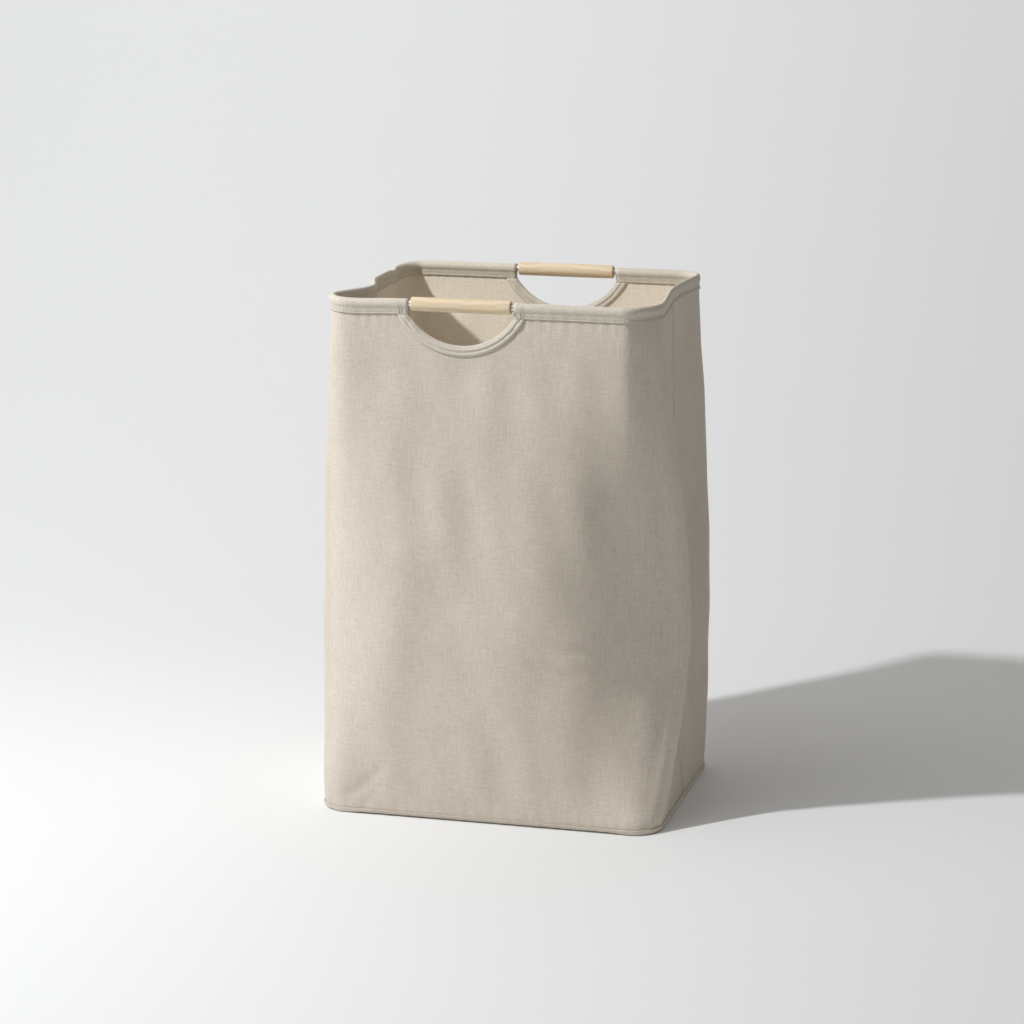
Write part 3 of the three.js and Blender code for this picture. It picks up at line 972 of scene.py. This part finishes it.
@dataclass(frozen=True)
class HandOpening:
    """A half-round hand opening below a grip, by the circle that its edge follows."""

    part: Part
    x: float
    z: float
    radius: float
    top: float
    form: BagForm
    snap: float = 8 * MM

    def cut(self, bm: bmesh.types.BMesh, radius: float) -> None:
        """Cut the opening out of a flat panel.

        Args:
            bm: the panel, in cloth coordinates.
            radius: the radius of the cut. Edges left within `snap` of it are drawn onto it.
        """
        start = self.part.value * self.form.shell
        points = flat_points(bm)
        across = self.form.across_face(points[:, 0] - start, points[:, 1]) - self.x
        distance = np.hypot(across, points[:, 1] - self.z)
        inside = distance < radius
        bm.verts.ensure_lookup_table()
        doomed = [face for face in bm.faces if sum(inside[v.index] for v in face.verts) >= 3]
        bmesh.ops.delete(bm, geom=doomed, context="FACES")
        rim = [v for v in bm.verts if v.is_boundary]
        for vertex in rim:
            height = np.array([vertex.co.y])
            x = float(self.form.across_face(np.array([vertex.co.x - start]), height)[0]) - self.x
            up = vertex.co.y - self.z
            now = math.hypot(x, up)
            if abs(now - radius) > self.snap:
                continue
            share = radius / now
            place = np.array([self.x + x * share]), np.array([self.z + up * share])
            vertex.co.x = start + float(self.form.along_face(*place)[0])
            vertex.co.y = float(place[1][0])

    def on_cloth(self, angle: Array, radius: Array, w: Array) -> Array:
        """Return cloth coordinates of places given by angle and radius round the opening's circle."""
        x = self.x + radius * np.cos(angle)
        z = self.z + radius * np.sin(angle)
        s = self.part.value * self.form.shell + self.form.along_face(x, z)
        return np.stack([s, z, w], axis=-1)


@dataclass(frozen=True)
class Wall:
    """A shell or a liner: one cut of cloth, draped, with its hand opening."""

    form: BagForm
    part: Part
    outer: float
    thickness: float
    bottom: float
    top: float
    cell: float
    seam_turn: float
    seam_reach: float = 2.2 * MM
    seam_gap: float = 0.05 * MM

    def build(self, opening: HandOpening, cut_radius: float, name: str) -> bmesh.types.BMesh:
        """Return the wall's outer surface.

        Args:
            opening: the hand opening in it.
            cut_radius: the radius of the cut.
            name: the piece's name, for the log.

        Returns:
            The draped surface, which the thickness is still missing from.
        """
        start = self.part.value * self.form.shell
        bm = cloth_grid((start, self.bottom), (start + self.form.shell, self.top), self.cell)
        opening.cut(bm, cut_radius)
        points = flat_points(bm)
        to_seam = np.minimum(points[:, 0] - start, start + self.form.shell - points[:, 0])
        turned_in = self.seam_turn * bell(to_seam, self.seam_reach)
        points[:, 2] = self.outer + turned_in
        points[:, 0] = np.clip(points[:, 0], start + self.seam_gap, start + self.form.shell - self.seam_gap)
        move_to(bm, self.form.drape(points))
        LOG.info("%s: cut and draped", name)
        return bm


@dataclass(frozen=True)
class Stretch:
    """A rim strip's start and end along the bag, and whether the hand opening is at its end."""

    start: float
    end: float
    opens_at_end: bool


@dataclass(frozen=True)
class RimStrip:
    """The folded strip that binds the rim, with a tunnel for the rod on the broad faces."""

    form: BagForm
    bottom: float
    tunnel: float
    lip_out: float
    lip_in: float
    thickness: float
    flat_half: float = 2.5 * MM
    flat_start: float = 4 * MM
    flat_reach: float = 40 * MM
    lip_share: float = 0.24
    neck_angle: float = math.radians(-52)
    lip_dip: float = 0.44 * MM
    stitch_height: float = 2.8 * MM
    groove_width: float = 0.9 * MM
    groove_depth: float = 0.35 * MM
    cell: float = 4 * MM
    rows: int = 26
    girth: float = 46 * MM
    end_gap: float = 0.05 * MM

    @property
    def neck_height(self) -> float:
        """The height at which the tunnel closes and the lips begin."""
        return self.form.rod_height + self.tunnel * math.sin(self.neck_angle)

    def tunnel_at(self, s: Array) -> Array:
        """Return the half width of the tunnel: round on the faces, pressed flat on the narrow sides."""
        t = np.mod(s, self.form.shell)
        from_face = np.maximum(self.form.face_start - t, t - self.form.face_end)
        flat = smooth_step((from_face - self.flat_start) / self.flat_reach)
        return self.tunnel + (self.flat_half - self.tunnel) * flat

    def section(self, place: Array) -> tuple[Array, Array]:
        """Return w and z of the strip's middle layer.

        Args:
            place: rows of (along the bag, share of the way from the outer hem over the tunnel to the inner
                hem).
        """
        along, share = place[:, 0], place[:, 1]
        half = self.tunnel_at(along)
        lip = self.lip_share
        turn = np.clip((share - lip) / (1 - 2 * lip), 0.0, 1.0)
        angle = self.neck_angle + turn * (math.pi - 2 * self.neck_angle)
        neck_w = half * math.cos(self.neck_angle)
        down_out = np.clip(1 - share / lip, 0.0, 1.0)
        down_in = np.clip((share - 1 + lip) / lip, 0.0, 1.0)
        outer_w = neck_w + (self.lip_out - neck_w) * down_out - self.lip_dip * np.sin(math.pi * down_out)
        inner_w = -neck_w + (self.lip_in + neck_w) * down_in
        w = np.where(share < lip, outer_w, half * np.cos(angle))
        w = np.where(share > 1 - lip, inner_w, w)
        drop = self.bottom - self.neck_height
        z = self.form.rod_height + self.tunnel * np.sin(angle)
        z = np.where(share < lip, self.neck_height + drop * down_out, z)
        z = np.where(share > 1 - lip, self.neck_height + drop * down_in, z)
        groove = bell(z - self.bottom - self.stitch_height, self.groove_width) * self.groove_depth
        return w - groove * np.sign(w), z

    def build(self, stretch: Stretch) -> bmesh.types.BMesh:
        """Return one strip, draped."""
        start, end = stretch.start + self.end_gap, stretch.end - self.end_gap
        bm = folded_strip(start, end, self.cell, self.rows, self.girth, self.section)
        move_to(bm, self.form.drape(flat_points(bm)))
        return bm

    def outer_at(self, s: Array, z: Array) -> Array:
        """Return how far out the strip's outer surface is at a height."""
        half = self.tunnel_at(s)
        rise = np.clip((z - self.form.rod_height) / self.tunnel, -1.0, 1.0)
        bulge = half * np.sqrt(1 - rise**2)
        neck_w = half * math.cos(self.neck_angle)
        down = np.clip((self.neck_height - z) / (self.neck_height - self.bottom), 0.0, 1.0)
        lip = neck_w + (self.lip_out - neck_w) * down
        return np.where(z < self.neck_height, lip, bulge) + self.thickness / 2


@dataclass(frozen=True)
class OpeningBinding:
    """The strip folded over the cut edge round a hand opening.

    Past its fold, each side first rolls and then rises in a ridge towards its hem. Shares count from the fold
    to the hem, and the inner side has less of both.
    """

    opening: HandOpening
    width: float
    thickness: float
    layer_out: float
    layer_in: float
    fold_share: float = 0.18
    roll: float = 1.1 * MM
    roll_share: float = 0.42
    ridge: float = 0.9 * MM
    ridge_share: float = 0.48
    inner_roll: float = 0.8
    inner_ridge: float = 0.6
    rows: int = 34
    columns: int = 64
    girth: float = 32 * MM
    way_round_share: float = 0.72

    def section(self, share: Array) -> tuple[Array, Array]:
        """Return how far beyond the opening's edge, and how far out, the strip's middle layer is.

        Args:
            share: shares of the way from its outer hem round the edge to its inner hem.
        """
        edge = self.fold_share
        middle = (self.layer_out + self.layer_in) / 2
        half = (self.layer_out - self.layer_in) / 2
        fold = np.clip((share - 0.5 + edge) / (2 * edge), 0.0, 1.0) * math.pi
        outer = share < 0.5 - edge
        inner = share > 0.5 + edge
        out_way = np.clip((0.5 - edge - share) / (0.5 - edge), 0.0, 1.0)
        in_way = np.clip((share - 0.5 - edge) / (0.5 - edge), 0.0, 1.0)
        way = np.where(outer, out_way, in_way)
        reach = half + (self.width - self.thickness / 2 - half) * way
        roll = self.roll * np.sin(math.pi * np.clip(way / self.roll_share, 0.0, 1.0))
        past_roll = np.clip((way - 1 + self.ridge_share) / self.ridge_share, 0.0, 1.0)
        ridge = self.ridge * np.sin(math.pi * past_roll)
        beyond = np.where(outer | inner, reach, half - half * np.sin(fold))
        w = np.where(outer, self.layer_out + roll + ridge, middle + half * np.cos(fold))
        w = np.where(inner, self.layer_in - roll * self.inner_roll - ridge * self.inner_ridge, w)
        return beyond, w

    def build(self) -> bmesh.types.BMesh:
        """Return the binding, draped."""
        opening, girth = self.opening, self.girth
        length = opening.radius * math.pi * self.way_round_share
        bm = bmesh.new()
        matrix = Matrix.Translation((length / 2, girth / 2, 0.0))
        matrix @= Matrix.Diagonal((length / 2, girth / 2, 1.0, 1.0))
        bmesh.ops.create_grid(bm, x_segments=self.columns, y_segments=self.rows, size=1.0, matrix=matrix)
        lay_pattern(bm)
        points = flat_points(bm)
        beyond, w = self.section(points[:, 1] / girth)
        radius = opening.radius + beyond
        half = np.arccos(np.clip((opening.z - opening.top) / radius, -1.0, 1.0))
        angle = -math.pi / 2 + half * (2 * points[:, 0] / length - 1)
        flat = opening.on_cloth(angle, radius, w)
        move_to(bm, opening.form.drape(flat))
        return bm


@dataclass(frozen=True)
class Grip:
    """A turned wooden grip with a bore for the rod and softened edges."""

    low: Vector
    high: Vector
    bore: float
    edge: float
    swell: float = 0.25 * MM
    mouth_out: float = 0.3 * MM
    mouth_in: float = 0.9 * MM
    mouth_rise: float = 0.5 * MM
    steps: int = 64

    def build(self) -> bmesh.types.BMesh:
        """Return the grip, turned along X in its place."""
        middle = (self.low + self.high) / 2
        half = (self.high.x - self.low.x) / 2
        radius = (self.high.z - self.low.z) / 2
        end = radius - self.swell
        body = [(half * share, radius - self.swell * share**4) for share in (0.0, 0.3, 0.6, 0.85)]
        arc = [math.radians(angle) for angle in range(0, 91, 15)]
        edge = [(half - self.edge * (1 - math.sin(a)), end - self.edge * (1 - math.cos(a))) for a in arc]
        mouth = [(half - self.mouth_out, self.bore + self.mouth_rise), (half - self.mouth_in, self.bore)]
        right = body + edge + mouth
        left = [(-x, r) for x, r in right[1:]]
        outline = left[::-1] + right
        bm = bmesh.new()
        verts = [bm.verts.new((middle.x + x, middle.y, middle.z + r)) for x, r in outline]
        pairs = list(zip(verts, verts[1:] + verts[:1]))
        edges = [bm.edges.new(pair) for pair in pairs]
        bmesh.ops.spin(
            bm,
            geom=verts + edges,
            cent=middle,
            axis=(1.0, 0.0, 0.0),
            angle=2 * math.pi,
            steps=self.steps,
            use_merge=True,
        )
        bmesh.ops.recalc_face_normals(bm, faces=bm.faces)
        return bm


@dataclass(frozen=True)
class Welt:
    """The strip that covers the walls' foot, rounds it and tucks under the walls' edge.

    The middles of the broad faces sit a little higher than the corners: `face_lift` over `corner_lift`.
    """

    form: BagForm
    height: float
    out: float
    thickness: float
    corner_lift: float = 0.4 * MM
    face_lift: float = 3.0 * MM
    upright_share: float = 0.45
    bend_share: float = 0.25
    curl: float = 1.6 * MM
    tuck: float = 3.4 * MM
    bulge: float = 0.35 * MM
    cell: float = 5 * MM
    rows: int = 14
    girth: float = 14 * MM
    weld: float = 0.02 * MM

    def section(self, place: Array) -> tuple[Array, Array]:
        """Return w and z of the welt's middle layer: up the wall's foot, rounded, and under its edge."""
        along, share = place[:, 0], place[:, 1]
        half = self.thickness / 2
        t = np.mod(along, self.form.shell)
        across = np.clip((self.form.face_middle - t) / (self.form.face / 2), -1.0, 1.0)
        lift = self.corner_lift + self.face_lift * (1 - across**4)
        turned = self.upright_share + self.bend_share
        bend = np.clip((share - self.upright_share) / self.bend_share, 0.0, 1.0) * math.pi / 2
        up = np.clip(1 - share / self.upright_share, 0.0, 1.0)
        under = np.clip((share - turned) / (1 - turned), 0.0, 1.0)
        bulge = self.bulge * np.sin(math.pi * np.clip(share / self.upright_share, 0.0, 1.0))
        w = self.out - self.curl * (1 - np.cos(bend)) - under * self.tuck + bulge
        z = half + self.curl * (1 - np.sin(bend)) + up * (self.height - self.thickness - self.curl)
        return w, z + lift * (1 - under) * (1 - up)

    def build(self) -> bmesh.types.BMesh:
        """Return the welt, draped and kept above the floor."""
        bm = folded_strip(0.0, self.form.round, self.cell, self.rows, self.girth, self.section)
        points = self.form.drape(flat_points(bm))
        points[:, 2] = np.maximum(points[:, 2], self.thickness / 2)
        move_to(bm, points)
        bmesh.ops.remove_doubles(bm, verts=bm.verts, dist=self.weld)
        return bm


@dataclass(frozen=True)
class BaseSheet:
    """A flat layer of the base with rounded corners and a slight wave, in the box of its CAD node."""

    low: Vector
    high: Vector
    corner: float
    wave: float
    waves: int
    waves_deep: float = 1.3
    phase: float = 0.6
    wave_fade: float = 50 * MM
    cell: float = 7 * MM

    def build(self) -> bmesh.types.BMesh:
        """Return the layer's middle surface."""
        half = ((self.high.x - self.low.x) / 2, (self.high.y - self.low.y) / 2)
        bm = cloth_grid((-half[0], -half[1]), half, self.cell)
        points = flat_points(bm)
        inner = np.array(half) - self.corner
        beyond = np.abs(points[:, :2]) - inner
        far = np.max(beyond, axis=1)
        length = np.hypot(np.maximum(beyond[:, 0], 0.0), np.maximum(beyond[:, 1], 0.0))
        share = np.where(length > 0, np.maximum(far, 1e-9) / np.maximum(length, 1e-9), 1.0)
        in_corner = (beyond[:, 0] > 0) & (beyond[:, 1] > 0)
        centre = np.sign(points[:, :2]) * inner
        pulled = centre + (points[:, :2] - centre) * share[:, None]
        points[:, :2] = np.where(in_corner[:, None], pulled, points[:, :2])
        to_edge = np.min(np.array(half) - np.abs(points[:, :2]), axis=1)
        across = np.sin(points[:, 0] / half[0] * math.pi * self.waves / 2 + self.phase)
        ripple = across * np.cos(points[:, 1] / half[1] * math.pi * self.waves_deep)
        fading = smooth_step(to_edge / self.wave_fade)
        points[:, 2] = (self.low.z + self.high.z) / 2 + self.wave * 0.5 * ripple * fading
        move_to(bm, points)
        return bm


@dataclass
class Hamper:
    """The whole hamper: its walls, rim, hand openings, base, seams and grips."""

    frame: dict
    form: BagForm
    finishes: Finishes
    shell_thickness: float = 1.5 * MM
    liner_thickness: float = 1.0 * MM
    binding_thickness: float = 1.2 * MM
    gap: float = 0.3 * MM
    shell_cell: float = 4 * MM
    liner_cell: float = 6 * MM
    wall_bottom: float = 1.9 * MM
    seam_turn: float = -0.9 * MM
    binding_width: float = 11.5 * MM
    seam_allowance: float = 12 * MM
    base_share: float = 0.7
    base_inset: float = 2 * MM
    bore_clearance: float = 0.5 * MM
    grip_edge: float = 1.3 * MM
    stitching: Stitching = Stitching()

    def __post_init__(self) -> None:
        """Read the heights, the layers and the openings off the frame."""
        strip_low, strip_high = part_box("front_left_rim_strip")
        half = self.binding_thickness / 2
        self.shell_outer = self.gap / 2 + self.shell_thickness
        self.liner_outer = -self.gap / 2
        self.liner_inner = self.liner_outer - self.liner_thickness
        self.strip_bottom = strip_low.z
        self.layer_out = self.shell_outer + self.gap + half
        self.layer_in = self.liner_inner - self.gap - half
        self.welt_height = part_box("base_welt")[1].z
        self.wall_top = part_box("front_shell")[1].z
        self.openings = {part: self.opening(part) for part in Part}
        tunnel = strip_high.z - self.form.rod_height - half
        self.rim = RimStrip(
            self.form, self.strip_bottom, tunnel, self.layer_out, self.layer_in, self.binding_thickness
        )

    def opening(self, part: Part) -> HandOpening:
        """Return a part's hand opening, worked out from its grip and its binding."""
        side = part.name.lower()
        grip_low, grip_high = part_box(f"{side}_grip")
        gap = grip_low.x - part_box(f"{side}_left_rim_strip")[1].x
        half = (grip_high.x - grip_low.x) / 2 + gap
        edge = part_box(f"{side}_opening_binding")[0].z + self.binding_width
        drop = self.strip_bottom - edge
        radius = (half**2 + drop**2) / (2 * drop)
        x = (grip_low.x + grip_high.x) / 2 * (1 if part is Part.FRONT else -1)
        return HandOpening(part, x, edge + radius, radius, self.strip_bottom - self.gap, self.form)

    def piece(
        self, bm: bmesh.types.BMesh, name: str, finish: bpy.types.Material, slot: str
    ) -> bpy.types.Object:
        """Turn a bmesh into a piece on the hamper's body."""
        return finish_object(bm, name, finish, HAMPER)

    def bound(self, bm: bmesh.types.BMesh, node: str) -> None:
        """Turn a strip's middle layer into a piece of binding cloth in place of its CAD node."""
        piece = self.piece(bm, f"{node}_cloth", self.finishes.binding, "binding_cloth")
        thicken(piece, self.binding_thickness, 0.0)
        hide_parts(node)

    def build_walls(self) -> None:
        """Make both shells and both liners."""
        span = (self.wall_bottom, self.wall_top)
        for part in Part:
            shell_layer = (self.shell_outer, self.shell_thickness)
            liner_layer = (self.liner_outer, self.liner_thickness)
            shell = Wall(self.form, part, *shell_layer, *span, self.shell_cell, self.seam_turn)
            liner = Wall(self.form, part, *liner_layer, *span, self.liner_cell, 0.0)
            side = part.name.lower()
            self.build_wall(shell, f"{side}_shell", self.finishes.shell, "shell_linen")
            self.build_wall(liner, f"{side}_liner", self.finishes.liner, "liner_cloth")

    def build_wall(self, wall: Wall, node: str, finish: bpy.types.Material, slot: str) -> None:
        """Make one shell or liner in place of its CAD node."""
        opening = self.openings[wall.part]
        bm = wall.build(opening, opening.radius + self.gap + self.binding_thickness, node)
        piece = self.piece(bm, f"{node}_cloth", finish, slot)
        thicken(piece, wall.thickness, self.outward_offset(piece))
        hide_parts(node)

    def outward_offset(self, piece: bpy.types.Object) -> float:
        """Return the offset that grows a wall inwards: -1 if its faces point outwards, and 1 if inwards."""
        faces = list(piece.data.polygons)
        sample = faces[:: max(1, len(faces) // 50)]
        outwards = sum(face.normal.x * face.center.x + face.normal.y * face.center.y for face in sample)
        return -1.0 if outwards > 0 else 1.0

    def stretches(self) -> dict[str, Stretch]:
        """Return where each rim strip lies."""
        stretches = {}
        sides = {Part.FRONT: ("right", "left"), Part.BACK: ("left", "right")}
        height = np.array([self.form.rod_height])
        for part, (first, last) in sides.items():
            start = part.value * self.form.shell
            opening = self.openings[part]
            half = math.sqrt(opening.radius**2 - (opening.z - self.strip_bottom) ** 2)
            mouths = [np.array([opening.x + way * half]) for way in (1, -1)]
            mouth = [start + float(self.form.along_face(x, height)[0]) for x in mouths]
            name = part.name.lower()
            stretches[f"{name}_{first}_rim_strip"] = Stretch(start, mouth[0], opens_at_end=True)
            stretches[f"{name}_{last}_rim_strip"] = Stretch(
                mouth[1], start + self.form.shell, opens_at_end=False
            )
        return stretches

    def build_rim(self) -> None:
        """Make the four rim strips."""
        for name, stretch in self.stretches().items():
            self.bound(self.rim.build(stretch), name)

    def build_bindings(self) -> None:
        """Make both bindings round the hand openings."""
        for part, opening in self.openings.items():
            binding = OpeningBinding(
                opening, self.binding_width, self.binding_thickness, self.layer_out, self.layer_in
            )
            self.bound(binding.build(), f"{part.name.lower()}_opening_binding")

    def build_base(self) -> None:
        """Make the welt, the underside's cloth and the cloth over the board."""
        welt = Welt(self.form, self.welt_height, self.layer_out, self.binding_thickness)
        self.bound(welt.build(), "base_welt")
        layers = {
            "base_cloth": (self.finishes.shell, "shell_linen", 0.35 * MM, 5),
            "base_liner": (self.finishes.liner, "liner_cloth", 0.5 * MM, 4),
        }
        for node, (finish, slot, wave, waves) in layers.items():
            low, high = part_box(node)
            layer = BaseSheet(low, high, self.form.base_corner - self.base_inset, wave, waves)
            piece = self.piece(layer.build(), f"{node}_sheet", finish, slot)
            thicken(piece, (high.z - low.z) * self.base_share, 0.0)
            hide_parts(node)

    def sew_row(self, bm: bmesh.types.BMesh, flat: Array, way: Array) -> None:
        """Sew stitches at places in cloth coordinates.

        Args:
            bm: the mesh that takes them.
            flat: rows of s, z and w.
            way: rows of the direction in which each stitch runs, in cloth coordinates.
        """
        middles = self.form.drape(flat)
        ends = self.form.drape(flat + way * MM)
        outwards = self.form.drape(flat + np.array([0.0, 0.0, MM]))
        self.stitching.sew(bm, middles, ends, outwards)

    def build_stitches(self) -> None:
        """Sew the rim, its bar tacks, the hand openings, the foot and the side seams."""
        self.sew_rim()
        self.sew_tacks()
        self.sew_openings()
        self.sew_foot()
        self.sew_side_seams()

    def sew_rim(self) -> None:
        """Sew the rim strips' hems, outside and inside, with the thread sunk a little into the cloth."""
        bm = bmesh.new()
        sunk, inset = self.stitching.sunk, self.stitching.end_inset
        for stretch in self.stretches().values():
            places = self.stitching.row(stretch.start + inset, stretch.end - inset)
            level = np.full_like(places, self.strip_bottom + self.rim.stitch_height)
            outside = self.rim.outer_at(places, level) - sunk
            inside = np.full_like(places, self.rim.lip_in - self.binding_thickness / 2 + sunk)
            for w in (outside, inside):
                self.sew_row(bm, np.stack([places, level, w], axis=-1), ALONG[None, :])
        self.piece(bm, "rim_topstitch", self.finishes.thread, "binding_cloth")

    def sew_tacks(self) -> None:
        """Sew two bar tacks at the hand opening's end of each rim strip."""
        bm = bmesh.new()
        pitch, sway = self.stitching.tack_pitch, self.stitching.tack_sway
        for stretch in self.stretches().values():
            for distance in self.stitching.tack_places:
                place = stretch.end - distance if stretch.opens_at_end else stretch.start + distance
                top = self.form.rod_height + self.stitching.tack_top
                levels = np.arange(self.strip_bottom + pitch, top, pitch)
                spots = place + np.where(np.arange(len(levels)) % 2, sway, -sway)
                out = self.rim.outer_at(spots, levels) + 0.02 * MM
                self.sew_row(bm, np.stack([spots, levels, out], axis=-1), (UPWARDS + 0.5 * ALONG)[None, :])
        self.piece(bm, "bar_tacks", self.finishes.thread, "binding_cloth")

    def sew_openings(self) -> None:
        """Sew the bindings of both hand openings, outside and inside."""
        bm = bmesh.new()
        proud = self.binding_thickness / 2 + 0.1 * MM
        for opening in self.openings.values():
            radius = opening.radius + self.binding_width * self.stitching.opening_share
            half = math.acos((opening.z - opening.top) / radius) - 0.02
            angles = self.stitching.row(-half * radius, half * radius) / radius - math.pi / 2
            rings = np.full_like(angles, radius)
            for w in (self.layer_out + proud, self.layer_in - proud):
                level = np.full_like(angles, w)
                middles = self.form.drape(opening.on_cloth(angles, rings, level))
                ends = self.form.drape(opening.on_cloth(angles + 0.01, rings, level))
                outwards = self.form.drape(opening.on_cloth(angles, rings, level + MM))
                self.stitching.sew(bm, middles, ends, outwards)
        self.piece(bm, "opening_topstitch", self.finishes.thread, "binding_cloth")

    def sew_foot(self) -> None:
        """Sew the welt all round, just below its top."""
        bm = bmesh.new()
        places = self.stitching.row(0.0, self.form.round)
        level = np.full_like(places, self.welt_height - self.stitching.below_welt_top)
        out = np.full_like(places, self.layer_out + self.binding_thickness / 2 + 0.12 * MM)
        self.sew_row(bm, np.stack([places, level, out], axis=-1), ALONG[None, :])
        self.piece(bm, "foot_topstitch", self.finishes.thread, "binding_cloth")

    def sew_side_seams(self) -> None:
        """Sew a row on each side of both side seams."""
        bm = bmesh.new()
        beside, inset = self.stitching.beside_seam, self.stitching.end_inset
        for seam in (0.0, self.form.shell):
            for aside in (-beside, beside):
                levels = self.stitching.row(self.wall_bottom + inset, self.strip_bottom - inset / 2)
                spots = np.full_like(levels, seam + aside)
                out = np.full_like(levels, self.shell_outer + 0.05 * MM)
                self.sew_row(bm, np.stack([spots, levels, out], axis=-1), UPWARDS[None, :])
        self.piece(bm, "side_seam_topstitch", self.finishes.thread, "shell_linen")

    def build_grips(self) -> None:
        """Make both wooden grips, each on its own body."""
        rod_low, rod_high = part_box("front_rod")
        bore = (rod_high.z - rod_low.z) / 2 + self.bore_clearance
        for part in Part:
            side = part.name.lower()
            bm = Grip(*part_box(f"{side}_grip"), bore, self.grip_edge).build()
            body = f"{side}_grip_body"
            piece = finish_object(bm, f"{side}_grip_wood", self.finishes.wood, body)
            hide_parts(f"{side}_grip")

    def dress_nodes(self) -> None:
        """Give the CAD nodes that stay their finishes."""
        kinds = {
            "_plug": self.finishes.plastic,
            "_rod": self.finishes.metal,
            "base_board": self.finishes.board,
        }
        for name, node in self.frame["nodes"].items():
            for ending, finish in kinds.items():
                if name.endswith(ending):
                    node.data.materials.clear()
                    node.data.materials.append(finish)

    def build(self) -> None:
        """Make every piece of the hamper."""
        self.build_walls()
        self.build_rim()
        self.build_bindings()
        self.build_base()
        self.build_stitches()
        self.build_grips()
        self.dress_nodes()


@dataclass(frozen=True)
class Studio:
    """The camera, the lamp, the fill and the seamless paper that the hamper stands on."""

    paper: bpy.types.Material
    camera_place: tuple[float, float, float] = (0.9385, -3.5809, 1.1811)
    camera_yaw: float = 14.798
    camera_pitch: float = 12.867
    lens: float = 113.57
    sensor: float = 36.0
    lamp_place: tuple[float, float, float] = (-1.25, -0.90, 1.75)
    lamp_radius: float = 0.045
    lamp_power: float = 61.0
    lamp_colour: Colour = (0.97, 1.0, 1.02, 1.0)
    softbox_place: tuple[float, float, float] = (-1.2, -0.7, 2.6)
    softbox_size: float = 2.2
    softbox_power: float = 19.0
    softbox_colour: tuple[float, float, float] = (1.0, 0.985, 0.95)
    fill: float = 0.21
    fill_colour: Colour = (1.0, 0.98, 0.94, 1.0)
    sweep_start: float = 0.55
    sweep_radius: float = 1.6
    half_width: float = 6.0
    cells_across: int = 12
    cells_along: int = 80

    def place_camera(self) -> None:
        """Make the camera and point it at the hamper."""
        data = bpy.data.cameras.new("camera")
        data.lens = self.lens
        data.sensor_width = self.sensor
        camera = bpy.data.objects.new("camera", data)
        camera.location = self.camera_place
        camera.rotation_euler = (math.radians(90 - self.camera_pitch), 0.0, math.radians(self.camera_yaw))
        bpy.context.scene.collection.objects.link(camera)
        bpy.context.scene.camera = camera

    def hang_lamp(self) -> None:
        """Hang the key lamp, whose light falls off slowly, to the left in front of the hamper."""
        data = bpy.data.lights.new("key_lamp", "POINT")
        data.energy = self.lamp_power
        data.shadow_soft_size = self.lamp_radius
        data.use_nodes = True
        nodes = data.node_tree.nodes
        falloff = nodes.new("ShaderNodeLightFalloff")
        falloff.inputs["Strength"].default_value = 1.0
        emission = nodes["Emission"]
        emission.inputs["Color"].default_value = self.lamp_colour
        data.node_tree.links.new(falloff.outputs["Linear"], emission.inputs["Strength"])
        lamp = bpy.data.objects.new("key_lamp", data)
        lamp.location = self.lamp_place
        bpy.context.scene.collection.objects.link(lamp)

    def hang_softbox(self) -> None:
        """Hang the large soft box above the hamper, a little to the left, and aim it at the middle."""
        data = bpy.data.lights.new("softbox", "AREA")
        data.energy = self.softbox_power
        data.size = self.softbox_size
        data.color = self.softbox_colour
        softbox = bpy.data.objects.new("softbox", data)
        softbox.location = self.softbox_place
        softbox.rotation_euler = (-Vector(self.softbox_place)).to_track_quat("-Z", "Y").to_euler()
        bpy.context.scene.collection.objects.link(softbox)

    def fill_room(self) -> None:
        """Light the room evenly from all round."""
        world = bpy.data.worlds.new("studio")
        world.use_nodes = True
        background = world.node_tree.nodes["Background"]
        background.inputs["Color"].default_value = self.fill_colour
        background.inputs["Strength"].default_value = self.fill
        bpy.context.scene.world = world

    def unroll_paper(self) -> None:
        """Unroll the paper: flat under the hamper and curved up behind it."""
        bm = bmesh.new()
        cells = {"x_segments": self.cells_across, "y_segments": self.cells_along}
        bmesh.ops.create_grid(bm, **cells, size=self.half_width)
        quarter = self.sweep_radius * math.pi / 2
        for vertex in bm.verts:
            way = vertex.co.y - self.sweep_start
            if way <= 0:
                continue
            angle = min(way, quarter) / self.sweep_radius
            vertex.co.y = self.sweep_start + self.sweep_radius * math.sin(angle)
            vertex.co.z = self.sweep_radius * (1 - math.cos(angle)) + max(0.0, way - quarter)
        mesh = bpy.data.meshes.new("paper")
        bm.to_mesh(mesh)
        bm.free()
        mesh.shade_smooth()
        mesh.materials.append(self.paper)
        paper = bpy.data.objects.new("paper", mesh)
        bpy.context.scene.collection.objects.link(paper)
        paper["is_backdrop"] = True

    def build(self) -> None:
        """Set up the whole studio."""
        self.place_camera()
        self.hang_lamp()
        self.hang_softbox()
        self.fill_room()
        self.unroll_paper()
        bpy.context.scene.view_settings.view_transform = "Standard"


def main(frame: dict, cad_box: tuple[Vector, Vector]) -> None:
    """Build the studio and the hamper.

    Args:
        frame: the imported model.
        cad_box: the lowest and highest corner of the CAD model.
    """
    finishes = Finishes.make()
    Studio(finishes.paper).build()
    joint = frame["record"]["behaviour"]["joints"][0]
    form = BagForm(height=cad_box[1].z, rod_height=joint["pos_m"][2])
    Hamper(frame, form, finishes).build()


if __name__ == "__main__":
    logging.basicConfig(level=logging.INFO, format="%(message)s")
    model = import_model()
    main(model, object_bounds())
